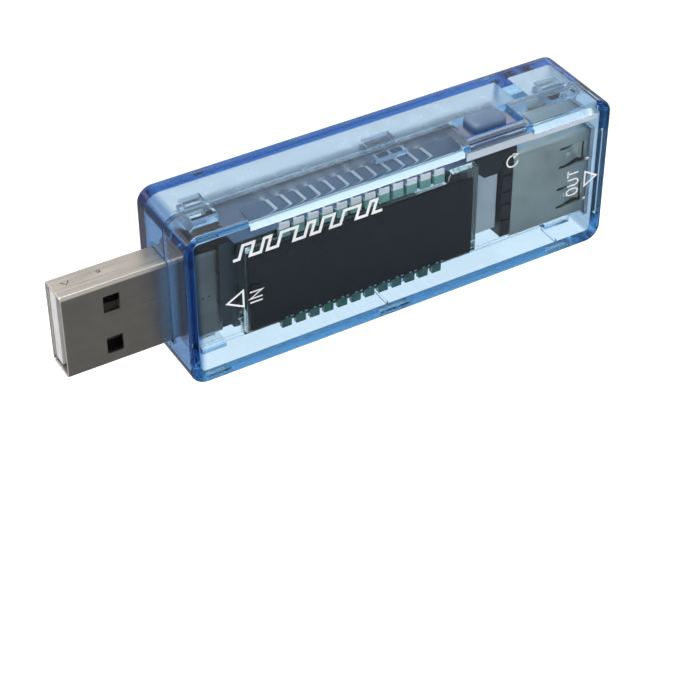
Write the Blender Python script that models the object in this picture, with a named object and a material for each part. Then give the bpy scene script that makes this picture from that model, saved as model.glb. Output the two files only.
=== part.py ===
"""USB power meter: a clear blue snap case with a plug, a socket, a display and a reset button.

Sizes are in millimetres in the tables below and are turned into metres when meshes are made.
+X runs from the plug to the socket, -Y looks out of the display, +Z is the reset button's side.
The meter stands on its long narrow side, and x = 0 below is the outside of the plug-end wall.
"""
import math

import bmesh
import bpy
from mathutils import Vector

MM = 0.001

# case
CASE_LENGTH = 61.2
CASE_HEIGHT = 22.0
CASE_FRONT = -6.5
CASE_BACK = 6.5
CASE_CORNER = 2.2
CASE_EDGE = 0.6
WALL = 1.4
FACE_WALL = 1.2
PARTING = -0.7
SPLIT_GAP = 0.04

# snap latches, as the first and last x of each
LATCHES = ((3.2, 6.6), (28.4, 33.0), (54.6, 58.6))
LATCH_REACH = 1.9
LATCH_THICK = 0.9
LATCH_THIN = 0.5
LATCH_ROOT = -2.3
LATCH_GAP = 0.3
CATCH_FROM = 0.5
CATCH_TO = 1.5
CATCH_HEIGHT = 0.8
POCKET_DEPTH = 0.75

# inside features of the case
BEVEL_SPANS = ((9.0, 39.2), (49.6, 60.0))
BEVEL_FROM = -5.5
BEVEL_TO = -1.87
BEVEL_LOW = 19.84
GUIDE_RIBS_X = (28.15, 54.35)
HOLDER_X = (50.8, 52.8)
HOLDER_Y = (0.3, 5.3)
HOLDER_LOW = 17.5

# plug
PLUG_TIP = -13.9
PLUG_Y = 0.8
AXIS_Z = 9.8
PLUG_WIDTH = 12.0
PLUG_THICK = 4.5
SHEET = 0.3
PLUG_COLLAR_FROM = 2.2
PLUG_REAR = 6.5

# socket
SOCKET_Y = -0.65
SOCKET_WIDTH = 13.1
SOCKET_THICK = 5.7
SOCKET_REAR = 48.2
SOCKET_MOUTH = 61.1
TONGUE_WIDTH = 11.1
TONGUE_THICK = 1.84
CONTACT_Z = (3.5, 1.0, -1.0, -3.5)

# board
BOARD = (7.2, 59.4, 2.4, 19.0)
BOARD_FRONT = 2.3
BOARD_BACK = 3.5
BOARD_STEP_X = 49.0
BOARD_STEP_Z = 17.2

# display
GLASS_X = (8.4, 41.6)
GLASS_Z = (4.7, 16.6)
LEDGE_Z = (3.45, 17.85)
PIN_COUNT = 12
PIN_PITCH = 2.0
PIN_FIRST = 14.0
PIN_HOLE = 1.1

# button and switch
BUTTON_X = (40.5, 48.3)
BUTTON_Y = (-4.45, -1.0)
PAD_X = (41.5, 46.6)
PAD_Y = (-4.6, -0.9)
PAD_TOP = 22.9
PLUNGER_X = 44.3
PLUNGER_Y = -1.6
SWITCH_TOP = 18.4

MID_X = (PLUG_TIP + CASE_LENGTH) / 2


def at(x, y, z):
    """A point of the millimetre tables, as a position in metres."""
    return Vector(((x - MID_X) * MM, y * MM, z * MM))


def clear_scene():
    for thing in list(bpy.data.objects):
        bpy.data.objects.remove(thing, do_unlink=True)


def material(name, colour, roughness, metallic=0.0, clear=0.0):
    mat = bpy.data.materials.get(name)
    if mat is not None:
        return mat
    mat = bpy.data.materials.new(name)
    mat.use_nodes = True
    shader = mat.node_tree.nodes["Principled BSDF"]
    shader.inputs["Base Color"].default_value = (*colour, 1.0)
    shader.inputs["Roughness"].default_value = roughness
    shader.inputs["Metallic"].default_value = metallic
    shader.inputs["Transmission Weight"].default_value = clear
    mat.diffuse_color = (*colour, 1.0)
    return mat


def make_object(name, bm, origin, mat=None):
    """A mesh object whose vertices were drawn in millimetre table coordinates."""
    bmesh.ops.recalc_face_normals(bm, faces=bm.faces)
    origin = Vector(origin)
    for vert in bm.verts:
        vert.co = (vert.co - origin) * MM
    mesh = bpy.data.meshes.new(name)
    bm.to_mesh(mesh)
    bm.free()
    obj = bpy.data.objects.new(name, mesh)
    obj.location = at(*origin)
    bpy.context.scene.collection.objects.link(obj)
    if mat is not None:
        mesh.materials.append(mat)
    return obj


def add_box(bm, x, y, z):
    """A box between the two values given for each axis."""
    made = bmesh.ops.create_cube(bm, size=1.0)
    for vert in made["verts"]:
        vert.co.x = x[0] if vert.co.x < 0 else x[1]
        vert.co.y = y[0] if vert.co.y < 0 else y[1]
        vert.co.z = z[0] if vert.co.z < 0 else z[1]
    return made["verts"]


def middle(pair):
    return (pair[0] + pair[1]) / 2


def box_object(name, x, y, z, mat=None):
    bm = bmesh.new()
    add_box(bm, x, y, z)
    return make_object(name, bm, (middle(x), middle(y), middle(z)), mat)


def rounded_rect(x, z, radius, steps=4):
    """The corner points of a rounded rectangle in the X-Z plane."""
    points = []
    corners = (
        (x[1] - radius, z[1] - radius, 0),
        (x[0] + radius, z[1] - radius, 90),
        (x[0] + radius, z[0] + radius, 180),
        (x[1] - radius, z[0] + radius, 270),
    )
    for cx, cz, start in corners:
        for step in range(steps + 1):
            turn = math.radians(start + 90 * step / steps)
            points.append((cx + radius * math.cos(turn), cz + radius * math.sin(turn)))
    return points


def add_prism_y(bm, outline, y_from, y_to):
    """An X-Z outline carried along Y. Returns the edges round each end."""
    first = [bm.verts.new((px, y_from, pz)) for px, pz in outline]
    last = [bm.verts.new((px, y_to, pz)) for px, pz in outline]
    count = len(outline)
    bm.faces.new(first)
    bm.faces.new(list(reversed(last)))
    for k in range(count):
        n = (k + 1) % count
        bm.faces.new((first[k], last[k], last[n], first[n]))
    rim_first = [bm.edges.get((first[k], first[(k + 1) % count])) for k in range(count)]
    rim_last = [bm.edges.get((last[k], last[(k + 1) % count])) for k in range(count)]
    return rim_first, rim_last


def add_cylinder(bm, axis, centre, radius, span, steps=16):
    """A cylinder along one axis. span holds its two ends on that axis."""
    ends = []
    for value in span:
        ring = []
        for k in range(steps):
            turn = 2 * math.pi * k / steps
            a = centre[0] + radius * math.cos(turn)
            b = centre[1] + radius * math.sin(turn)
            point = (a, b, value) if axis == "z" else (a, value, b)
            ring.append(bm.verts.new(point))
        ends.append(ring)
    bm.faces.new(ends[0])
    bm.faces.new(list(reversed(ends[1])))
    for k in range(steps):
        n = (k + 1) % steps
        bm.faces.new((ends[0][k], ends[1][k], ends[1][n], ends[0][n]))


def boolean(obj, tool, operation):
    tool.hide_render = True
    tool.display_type = "WIRE"
    modifier = obj.modifiers.new(tool.name, "BOOLEAN")
    modifier.operation = operation
    modifier.solver = "EXACT"
    modifier.object = tool
    modifier.use_self = True


def cut(obj, tool):
    boolean(obj, tool, "DIFFERENCE")


def join(obj, tool):
    boolean(obj, tool, "UNION")


def guide(name, bm, origin=(0, 0, 0)):
    return make_object("guide_" + name, bm, origin)


def smooth(obj, angle=35):
    obj.data.shade_smooth()
    obj.data.set_sharp_from_angle(angle=math.radians(angle))


# ---------------------------------------------------------------- case

def case_tray(name, y_from, y_to, inner_from, inner_to, mat):
    """One half of the case: a rounded tray, open on the parting plane."""
    x = (0.0, CASE_LENGTH)
    z = (0.0, CASE_HEIGHT)
    bm = bmesh.new()
    rim_front, rim_back = add_prism_y(bm, rounded_rect(x, z, CASE_CORNER), y_from, y_to)
    face_rim = rim_front if name == "front_shell" else rim_back
    bmesh.ops.bevel(bm, geom=face_rim, offset=CASE_EDGE, segments=3, profile=0.5, affect="EDGES")
    tray = make_object(name, bm, (CASE_LENGTH / 2, PARTING, CASE_HEIGHT / 2), mat)
    bm = bmesh.new()
    inner_x = (WALL, CASE_LENGTH - WALL)
    inner_z = (WALL, CASE_HEIGHT - WALL)
    add_prism_y(bm, rounded_rect(inner_x, inner_z, CASE_CORNER - 0.9), inner_from, inner_to)
    cut(tray, guide(name + "_hollow", bm))
    return tray


def end_openings(name, y_from, y_to):
    """The parts of the plug's and socket's wall openings that fall in one half."""
    bm = bmesh.new()
    half = PLUG_THICK / 2 + 0.2
    plug_y = (max(y_from, PLUG_Y - half), min(y_to, PLUG_Y + half))
    half = PLUG_WIDTH / 2 + 0.2
    add_box(bm, (-1.0, WALL + 0.5), plug_y, (AXIS_Z - half, AXIS_Z + half))
    half = SOCKET_THICK / 2 + 0.3
    socket_y = (max(y_from, SOCKET_Y - half), min(y_to, SOCKET_Y + half))
    half = SOCKET_WIDTH / 2 + 0.3
    end = (CASE_LENGTH - WALL - 0.5, CASE_LENGTH + 1.0)
    add_box(bm, end, socket_y, (AXIS_Z - half, AXIS_Z + half))
    return guide(name + "_openings", bm)


def front_shell(mat):
    beyond = PARTING + 2.0
    shell = case_tray("front_shell", CASE_FRONT, PARTING - SPLIT_GAP / 2,
                      CASE_FRONT + FACE_WALL, beyond, mat)
    cut(shell, end_openings("front", CASE_FRONT, beyond))
    bm = bmesh.new()
    hole_x = (BUTTON_X[0] - 0.3, BUTTON_X[1] + 0.3)
    add_box(bm, hole_x, (BUTTON_Y[0] - 0.3, beyond), (CASE_HEIGHT - WALL - 0.5, CASE_HEIGHT + 1))
    cut(shell, guide("front_button_hole", bm))
    bm = bmesh.new()
    for top in (True, False):
        for first, last in LATCHES:
            if top:
                root = (CASE_HEIGHT - WALL - LATCH_GAP - LATCH_THICK, CASE_HEIGHT - WALL + 0.5)
                reach = (root[0], root[0] + LATCH_THICK)
                catch = (reach[1] - 0.3, reach[1] + CATCH_HEIGHT)
            else:
                root = (WALL - 0.5, WALL + LATCH_GAP + LATCH_THIN)
                reach = (root[1] - LATCH_THIN, root[1])
                catch = (reach[0] - CATCH_HEIGHT, reach[0] + 0.3)
            x = (first, last)
            step = (first + 0.6, last - 0.6)
            outline = latch_profile(root, reach, catch, top)
            add_latch(bm, x, outline["arm"])
            add_latch(bm, step, outline["catch"])
    join(shell, guide("front_latches", bm))
    join(shell, front_stiffeners())
    smooth(shell)
    return shell


def front_stiffeners():
    """A shallow bevel under the top wall, and the ribs beside the bottom latches."""
    bm = bmesh.new()
    top = CASE_HEIGHT - WALL + 0.3
    for span in BEVEL_SPANS:
        add_latch(bm, span, ((BEVEL_FROM, BEVEL_LOW), (BEVEL_FROM, top), (BEVEL_TO, top)))
    for x in GUIDE_RIBS_X:
        add_box(bm, (x - 0.15, x + 0.15), (-5.6, -2.0), (WALL - 0.2, WALL + 0.4))
    return guide("front_stiffeners", bm)


def latch_profile(root, reach, catch, top):
    """Y-Z outlines of a latch arm and of the catch on its end."""
    wall_side = root[1] if top else root[0]
    inner = root[0] if top else root[1]
    outer = reach[1] if top else reach[0]
    tip = catch[1] if top else catch[0]
    sunk = catch[0] if top else catch[1]
    arm = (
        (LATCH_ROOT, inner),
        (LATCH_REACH, inner),
        (LATCH_REACH, outer),
        (PARTING - 0.5, outer),
        (PARTING - 0.5, wall_side),
        (LATCH_ROOT, wall_side),
    )
    hook = (
        (CATCH_FROM, sunk),
        (LATCH_REACH - 0.1, sunk),
        (LATCH_REACH - 0.1, outer),
        (CATCH_TO, tip),
        (CATCH_FROM, tip),
    )
    return {"arm": arm, "catch": hook}


def add_latch(bm, x, outline):
    left = [bm.verts.new((x[0], py, pz)) for py, pz in outline]
    right = [bm.verts.new((x[1], py, pz)) for py, pz in outline]
    count = len(outline)
    faces = [bm.faces.new(left), bm.faces.new(list(reversed(right)))]
    for k in range(count):
        n = (k + 1) % count
        faces.append(bm.faces.new((left[k], right[k], right[n], left[n])))
    bmesh.ops.recalc_face_normals(bm, faces=faces)


def back_shell(mat):
    beyond = PARTING - 2.0
    shell = case_tray("back_shell", PARTING + SPLIT_GAP / 2, CASE_BACK,
                      beyond, CASE_BACK - WALL, mat)
    cut(shell, end_openings("back", beyond, CASE_BACK))
    bm = bmesh.new()
    skin = WALL - POCKET_DEPTH
    for z in ((CASE_HEIGHT - WALL - 0.5, CASE_HEIGHT - skin), (skin, WALL + 0.5)):
        for first, last in LATCHES:
            add_box(bm, (first + 0.3, last - 0.3), (CATCH_FROM - 0.3, LATCH_REACH + 0.2), z)
    cut(shell, guide("back_pockets", bm))
    bm = bmesh.new()
    for x in (10.5, 57.0):
        for z in (5.6, 13.4):
            add_cylinder(bm, "y", (x, z), 0.9, (BOARD_BACK + 0.1, CASE_BACK - WALL + 0.5), 12)
    join(shell, guide("back_posts", bm))
    bm = bmesh.new()
    add_box(bm, HOLDER_X, HOLDER_Y, (HOLDER_LOW, CASE_HEIGHT - WALL + 0.3))
    join(shell, guide("back_board_holder", bm))
    smooth(shell)
    return shell


# ---------------------------------------------------------------- button and switch

def reset_button(mat):
    bm = bmesh.new()
    flange_x = (BUTTON_X[0] - 0.9, BUTTON_X[1] + 0.9)
    flange_y = (BUTTON_Y[0] - 0.5, BUTTON_Y[1])
    add_box(bm, flange_x, flange_y, (19.45, 20.3))
    button = make_object("reset_button", bm, (PLUNGER_X, PLUNGER_Y, 19.45), mat)
    bm = bmesh.new()
    add_box(bm, BUTTON_X, BUTTON_Y, (19.9, 21.3))
    join(button, guide("button_plate", bm))
    bm = bmesh.new()
    add_pad(bm)
    join(button, guide("button_pad", bm))
    smooth(button, 40)
    return button


def add_pad(bm):
    """The finger pad: a rounded square with a softened top edge."""
    radius = 1.1
    steps = 4
    ring = rounded_rect(PAD_X, PAD_Y, radius, steps)
    levels = ((0.0, 20.9), (0.0, PAD_TOP - 0.55), (0.16, PAD_TOP - 0.16), (0.55, PAD_TOP))
    mid = (middle(PAD_X), middle(PAD_Y))
    rings = []
    for inset, z in levels:
        row = []
        for px, py in ring:
            away = Vector((px - mid[0], py - mid[1]))
            keep = 1.0 - inset / 1.9
            row.append(bm.verts.new((mid[0] + away.x * keep, mid[1] + away.y * keep, z)))
        rings.append(row)
    count = len(ring)
    bm.faces.new(rings[0])
    bm.faces.new(rings[-1])
    for low, high in zip(rings, rings[1:]):
        for k in range(count):
            n = (k + 1) % count
            bm.faces.new((low[k], low[n], high[n], high[k]))


def reset_switch_body(mat):
    outline = (
        (41.7, SWITCH_TOP),
        (47.7, SWITCH_TOP),
        (47.7, 16.6),
        (45.6, 16.6),
        (45.6, 16.0),
        (44.8, 15.1),
        (42.9, 15.1),
        (41.7, 16.2),
    )
    bm = bmesh.new()
    add_prism_y(bm, outline, -4.4, BOARD_FRONT - 0.1)
    body = make_object("reset_switch_body", bm, (PLUNGER_X, PLUNGER_Y, 16.6), mat)
    bm = bmesh.new()
    add_cylinder(bm, "z", (PLUNGER_X, PLUNGER_Y), 1.5, (17.1, SWITCH_TOP + 1), 20)
    cut(body, guide("switch_bore", bm))
    return body


def reset_switch_plunger(mat):
    bm = bmesh.new()
    add_cylinder(bm, "z", (PLUNGER_X, PLUNGER_Y), 1.25, (17.6, 19.3), 20)
    plunger = make_object("reset_switch_plunger", bm, (PLUNGER_X, PLUNGER_Y, 17.6), mat)
    smooth(plunger)
    return plunger


def reset_switch_legs(mat):
    """Two solder legs behind the switch, one at each side."""
    for number, x in ((1, 42.3), (2, 46.9)):
        bm = bmesh.new()
        outline = (
            (x - 0.35, 18.7),
            (x + 0.35, 18.7),
            (x + 0.35, 18.95),
            (x - 0.35, 18.95),
        )
        add_prism_y(bm, outline, -1.0, BOARD_BACK - 1.35)
        make_object("reset_switch_leg_%d" % number, bm, (x, 0.5, 18.8), mat)


# ---------------------------------------------------------------- plug

def rect_tube(bm, x, y, z, sheet, radius):
    """A folded sheet tube along X with rounded corners, open at both ends."""
    rows = []
    for px in x:
        for inset, r in ((0.0, radius), (sheet, max(radius - sheet, 0.12))):
            ring = rounded_rect((y[0] + inset, y[1] - inset), (z[0] + inset, z[1] - inset), r, 3)
            rows.append([bm.verts.new((px, py, pz)) for py, pz in ring])
    outer_a, inner_a, outer_b, inner_b = rows
    count = len(outer_a)
    for k in range(count):
        n = (k + 1) % count
        bm.faces.new((outer_a[k], outer_a[n], outer_b[n], outer_b[k]))
        bm.faces.new((inner_a[k], inner_b[k], inner_b[n], inner_a[n]))
        bm.faces.new((outer_a[k], inner_a[k], inner_a[n], outer_a[n]))
        bm.faces.new((outer_b[k], outer_b[n], inner_b[n], inner_b[k]))


def plug_shell(mat):
    y = (PLUG_Y - PLUG_THICK / 2, PLUG_Y + PLUG_THICK / 2)
    z = (AXIS_Z - PLUG_WIDTH / 2, AXIS_Z + PLUG_WIDTH / 2)
    bm = bmesh.new()
    rect_tube(bm, (PLUG_TIP, PLUG_REAR), y, z, SHEET, 0.5)
    shell = make_object("plug_shell", bm, (0, PLUG_Y, AXIS_Z), mat)
    bm = bmesh.new()
    rect_tube(bm, (PLUG_COLLAR_FROM, PLUG_REAR), (y[0] - 0.42, y[1] + 0.42),
              (z[0] - 0.42, z[1] + 0.42), 0.6, 0.7)
    join(shell, guide("plug_collar", bm))
    bm = bmesh.new()
    for side in (-3.1, 3.1):
        hole_z = (AXIS_Z + side - 1.2, AXIS_Z + side + 1.2)
        hole_x = (PLUG_TIP + 5.3, PLUG_TIP + 7.45)
        add_box(bm, hole_x, (y[0] - 1, y[0] + 1), hole_z)
        add_box(bm, hole_x, (y[1] - 0.35, y[1] + 1), hole_z)
    add_cylinder(bm, "z", (PLUG_TIP + 6.2, PLUG_Y + 0.6), 0.3, (z[1] - 1, z[1] + 1), 12)
    cut(shell, guide("plug_windows", bm))
    smooth(shell)
    return shell


def plug_tongue_face():
    return PLUG_Y + PLUG_THICK / 2 - SHEET - 0.05 - TONGUE_THICK


def plug_insulator(mat):
    back = PLUG_Y + PLUG_THICK / 2 - SHEET - 0.05
    front = PLUG_Y - PLUG_THICK / 2 + SHEET + 0.05
    half = TONGUE_WIDTH / 2
    bm = bmesh.new()
    outline = (
        (PLUG_TIP + 0.3, plug_tongue_face()),
        (-2.4, plug_tongue_face()),
        (-2.4, front),
        (PLUG_REAR - 0.2, front),
        (PLUG_REAR - 0.2, back),
        (PLUG_TIP + 0.3, back),
    )
    first = [bm.verts.new((px, py, AXIS_Z - half)) for px, py in outline]
    last = [bm.verts.new((px, py, AXIS_Z + half)) for px, py in outline]
    bm.faces.new(first)
    bm.faces.new(list(reversed(last)))
    for k in range(len(outline)):
        n = (k + 1) % len(outline)
        bm.faces.new((first[k], last[k], last[n], first[n]))
    block = make_object("plug_insulator", bm, (0, back, AXIS_Z), mat)
    bm = bmesh.new()
    for offset in CONTACT_Z:
        z = (AXIS_Z + offset - 0.8, AXIS_Z + offset + 0.8)
        add_box(bm, (-2.6, PLUG_REAR + 1), (plug_tongue_face() - 0.6, plug_tongue_face() + 0.3), z)
    cut(block, guide("plug_slots", bm))
    return block


def plug_contacts(mat):
    """Four flat blades. The two outer ones reach nearer to the tip."""
    for number, offset in enumerate(CONTACT_Z, 1):
        start = PLUG_TIP + (1.3 if abs(offset) > 2 else 2.3)
        face = plug_tongue_face() - 0.02
        tail = BOARD_FRONT - 0.05
        outline = (
            (start, face),
            (7.0, face),
            (7.5, tail),
            (9.2, tail),
            (9.2, tail - 0.2),
            (7.7, tail - 0.2),
            (7.2, face - 0.2),
            (start + 0.3, face - 0.2),
        )
        half = 0.5
        bm = bmesh.new()
        first = [bm.verts.new((px, py, AXIS_Z + offset - half)) for px, py in outline]
        last = [bm.verts.new((px, py, AXIS_Z + offset + half)) for px, py in outline]
        bm.faces.new(first)
        bm.faces.new(list(reversed(last)))
        for k in range(len(outline)):
            n = (k + 1) % len(outline)
            bm.faces.new((first[k], last[k], last[n], first[n]))
        make_object("plug_contact_%d" % number, bm, (0, face, AXIS_Z + offset), mat)


# ---------------------------------------------------------------- socket

def socket_shell(mat):
    y = (SOCKET_Y - SOCKET_THICK / 2, SOCKET_Y + SOCKET_THICK / 2)
    z = (AXIS_Z - SOCKET_WIDTH / 2, AXIS_Z + SOCKET_WIDTH / 2)
    bm = bmesh.new()
    rect_tube(bm, (SOCKET_REAR, SOCKET_MOUTH), y, z, SHEET, 0.5)
    shell = make_object("socket_shell", bm, (SOCKET_REAR, SOCKET_Y, AXIS_Z), mat)
    bm = bmesh.new()
    for wall in ((y[0] - 1, y[0] + 0.5), (y[1] - 0.5, y[1] + 1)):
        for low, high in ((5.3, 8.5), (11.6, 14.8)):
            add_slit(bm, 55.4, 59.4, wall, low, high)
    cut(shell, guide("socket_slits", bm))
    bm = bmesh.new()
    for leg_z in ((z[0], z[0] + SHEET), (z[1] - SHEET, z[1])):
        add_box(bm, (52.0, 53.4), (y[1] - 0.8, BOARD_BACK + 0.7), leg_z)
    join(shell, guide("socket_legs", bm))
    smooth(shell)
    return shell


def add_slit(bm, x_from, x_to, wall, low, high):
    """A U-shaped slit that frees one spring finger."""
    width = 0.25
    outline = (
        (x_from, low),
        (x_to, low),
        (x_to, high),
        (x_from, high),
        (x_from, high - width),
        (x_to - width, high - width),
        (x_to - width, low + width),
        (x_from, low + width),
    )
    add_prism_y(bm, outline, wall[0], wall[1])


def socket_tongue():
    """Front and back faces of the socket's tongue."""
    front = SOCKET_Y - PLUG_THICK / 2 + SHEET + 0.05
    return front, front + TONGUE_THICK


def socket_insulator(mat):
    front = SOCKET_Y - SOCKET_THICK / 2 + SHEET + 0.05
    back = SOCKET_Y + SOCKET_THICK / 2 - SHEET - 0.05
    tongue = socket_tongue()
    half = SOCKET_WIDTH / 2 - SHEET - 0.05
    bm = bmesh.new()
    add_box(bm, (46.7, 51.4), (front, back), (AXIS_Z - half, AXIS_Z + half))
    block = make_object("socket_insulator", bm, (46.7, SOCKET_Y, AXIS_Z), mat)
    bm = bmesh.new()
    half = TONGUE_WIDTH / 2
    add_box(bm, (51.0, SOCKET_MOUTH - 0.6), tongue, (AXIS_Z - half, AXIS_Z + half))
    join(block, guide("socket_tongue", bm))
    bm = bmesh.new()
    for offset in CONTACT_Z:
        z = (AXIS_Z + offset - 0.8, AXIS_Z + offset + 0.8)
        add_box(bm, (46.2, 51.8), (tongue[1] - 0.2, tongue[1] + 0.6), z)
        add_box(bm, (46.2, 47.4), (tongue[1] - 0.2, back + 1), z)
    cut(block, guide("socket_slots", bm))
    return block


def socket_contacts(mat):
    """Four sprung strips on the tongue's inner face, each with a leg through the board."""
    face = socket_tongue()[1] + 0.02
    leg = (46.75, 47.05)
    for number, offset in enumerate(CONTACT_Z, 1):
        reach = SOCKET_MOUTH - (2.0 if abs(offset) > 2 else 3.0)
        outline = (
            (leg[0], face),
            (reach, face),
            (reach, face + 0.2),
            (56.4, face + 0.2),
            (55.4, face + 0.65),
            (54.4, face + 0.2),
            (leg[1], face + 0.2),
            (leg[1], BOARD_BACK + 0.7),
            (leg[0], BOARD_BACK + 0.7),
        )
        half = 0.45
        bm = bmesh.new()
        first = [bm.verts.new((px, py, AXIS_Z + offset - half)) for px, py in outline]
        last = [bm.verts.new((px, py, AXIS_Z + offset + half)) for px, py in outline]
        bm.faces.new(first)
        bm.faces.new(list(reversed(last)))
        for k in range(len(outline)):
            n = (k + 1) % len(outline)
            bm.faces.new((first[k], last[k], last[n], first[n]))
        make_object("socket_contact_%d" % number, bm, (leg[0], face, AXIS_Z + offset), mat)


# ---------------------------------------------------------------- board

def pin_positions():
    return [PIN_FIRST + PIN_PITCH * k for k in range(PIN_COUNT)]


def pin_rows():
    """Height of the lower and the upper row of display pins."""
    return LEDGE_Z[0] - 0.3, LEDGE_Z[1] + 0.3


def circuit_board(mat):
    x = (BOARD[0], BOARD[1])
    z = (BOARD[2], BOARD[3])
    bm = bmesh.new()
    add_prism_y(bm, rounded_rect(x, z, 0.8, 2), BOARD_FRONT, BOARD_BACK)
    board = make_object("circuit_board", bm, (middle(x), BOARD_FRONT, middle(z)), mat)
    through = (BOARD_FRONT - 1, BOARD_BACK + 1)
    bm = bmesh.new()
    for row in pin_rows():
        for px in pin_positions():
            add_cylinder(bm, "y", (px, row), PIN_HOLE / 2, through, 8)
    for offset in CONTACT_Z:
        hole_z = AXIS_Z + offset
        add_box(bm, (46.4, 47.4), through, (hole_z - 0.75, hole_z + 0.75))
    for edge in (-1, 1):
        leg_z = AXIS_Z + edge * (SOCKET_WIDTH / 2 - SHEET / 2)
        add_box(bm, (51.6, 53.8), through, (leg_z - 0.5, leg_z + 0.5))
    add_box(bm, (BOARD_STEP_X, BOARD[1] + 1), through, (BOARD_STEP_Z, BOARD[3] + 1))
    cut(board, guide("board_holes", bm))
    return board


def chip(name, centre, size, legs, pitch, mat):
    """A flat package on the board's back, with a row of legs along each long side."""
    x = (centre[0] - size[0] / 2, centre[0] + size[0] / 2)
    z = (centre[1] - size[1] / 2, centre[1] + size[1] / 2)
    y = (BOARD_BACK + 0.2, BOARD_BACK + 0.2 + size[2])
    bm = bmesh.new()
    add_box(bm, x, y, z)
    package = make_object(name, bm, (centre[0], y[0], centre[1]), mat)
    if legs:
        bm = bmesh.new()
        for k in range(legs):
            px = centre[0] + (k - (legs - 1) / 2) * pitch
            for side in (-1, 1):
                edge = z[0] if side < 0 else z[1]
                outline = (
                    (edge - side * 0.3, y[0] + 0.35),
                    (edge + side * 0.4, y[0] + 0.35),
                    (edge + side * 0.55, BOARD_BACK + 0.2),
                    (edge + side * 0.95, BOARD_BACK + 0.2),
                    (edge + side * 0.95, BOARD_BACK + 0.05),
                    (edge + side * 0.4, BOARD_BACK + 0.05),
                    (edge + side * 0.25, y[0] + 0.2),
                    (edge - side * 0.3, y[0] + 0.2),
                )
                add_leg(bm, (px - pitch * 0.2, px + pitch * 0.2), outline)
        join(package, guide(name + "_legs", bm))
    return package


def add_leg(bm, x, outline):
    """A bent strip whose side outline is drawn as (z, y) pairs."""
    left = [bm.verts.new((x[0], py, pz)) for pz, py in outline]
    right = [bm.verts.new((x[1], py, pz)) for pz, py in outline]
    count = len(outline)
    faces = [bm.faces.new(left), bm.faces.new(list(reversed(right)))]
    for k in range(count):
        n = (k + 1) % count
        faces.append(bm.faces.new((left[k], right[k], right[n], left[n])))
    bmesh.ops.recalc_face_normals(bm, faces=faces)


def surface_part(name, centre, size, mat):
    """A two-ended component lying on the board's back."""
    x = (centre[0] - size[0] / 2, centre[0] + size[0] / 2)
    z = (centre[1] - size[1] / 2, centre[1] + size[1] / 2)
    y = (BOARD_BACK + 0.05, BOARD_BACK + 0.05 + size[2])
    bm = bmesh.new()
    add_box(bm, x, y, z)
    bmesh.ops.bevel(bm, geom=bm.edges, offset=0.07, segments=1, affect="EDGES")
    return make_object(name, bm, (centre[0], y[0], centre[1]), mat)


def board_parts(black, tan, cream, steel):
    chip("microcontroller", (25.0, 10.7), (10.2, 5.3, 1.05), 12, 0.8, black)
    chip("memory_chip", (38.6, 8.6), (4.9, 3.9, 1.05), 4, 1.27, black)
    chip("voltage_regulator", (14.6, 7.2), (2.9, 1.6, 1.0), 2, 1.9, black)
    surface_part("current_shunt", (40.4, 15.2), (6.4, 3.2, 0.6), black)
    surface_part("clock_crystal", (15.4, 13.4), (3.2, 1.5, 0.9), steel)
    for number, spot in enumerate(((11.8, 16.8), (18.2, 16.8), (32.6, 6.0), (44.6, 11.6)), 1):
        surface_part("filter_capacitor_%d" % number, spot, (2.0, 1.25, 0.9), tan)
    for number, spot in enumerate(((32.6, 16.0), (32.6, 13.9), (32.6, 8.2), (12.2, 10.4)), 1):
        surface_part("divider_resistor_%d" % number, spot, (1.6, 0.8, 0.45), cream)


# ---------------------------------------------------------------- display

def display(glass, film, guide_mat, white, lamp):
    box_object("lcd_front_polarizer", (GLASS_X[0] + 0.2, GLASS_X[1] - 0.85), (-5.15, -4.95),
               (GLASS_Z[0] + 0.15, GLASS_Z[1] - 0.15), film)
    box_object("lcd_front_glass", GLASS_X, (-4.93, -3.85), GLASS_Z, glass)
    box_object("lcd_rear_glass", GLASS_X, (-3.83, -2.75), LEDGE_Z, glass)
    box_object("lcd_rear_polarizer", (GLASS_X[0] + 0.2, GLASS_X[1] - 0.85), (-2.7, -2.5),
               (GLASS_Z[0] + 0.15, GLASS_Z[1] - 0.15), film)
    light_guide(guide_mat)
    backlight_housing(white)
    box_object("backlight_reflector", (7.6, 41.6), (-0.35, -0.15), (4.1, 17.2), white)
    for number, z in ((1, 7.2), (2, 12.4)):
        box_object("backlight_led_%d" % number, (41.85, 42.75), (-1.9, -0.9), (z - 0.8, z + 0.8),
                   lamp)


def light_guide(mat):
    """A clear plate behind the glass, a little larger than the lit window."""
    bm = bmesh.new()
    add_prism_y(bm, rounded_rect((7.4, 41.7), (3.9, 17.4), 0.6, 2), -2.4, -0.4)
    return make_object("light_guide", bm, (7.4, -2.4, middle(GLASS_Z)), mat)


def backlight_housing(mat):
    """The lamp end of the backlight: a flat hood over two lamps, with its mouth to the guide."""
    bm = bmesh.new()
    add_box(bm, (41.75, 46.4), (-2.4, -0.3), (4.9, 14.7))
    hood = make_object("backlight_housing", bm, (43.7, -1.3, 9.8), mat)
    bm = bmesh.new()
    add_box(bm, (41.0, 43.2), (-2.1, -0.7), (5.6, 14.0))
    cut(hood, guide("backlight_hollow", bm))
    return hood


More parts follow.
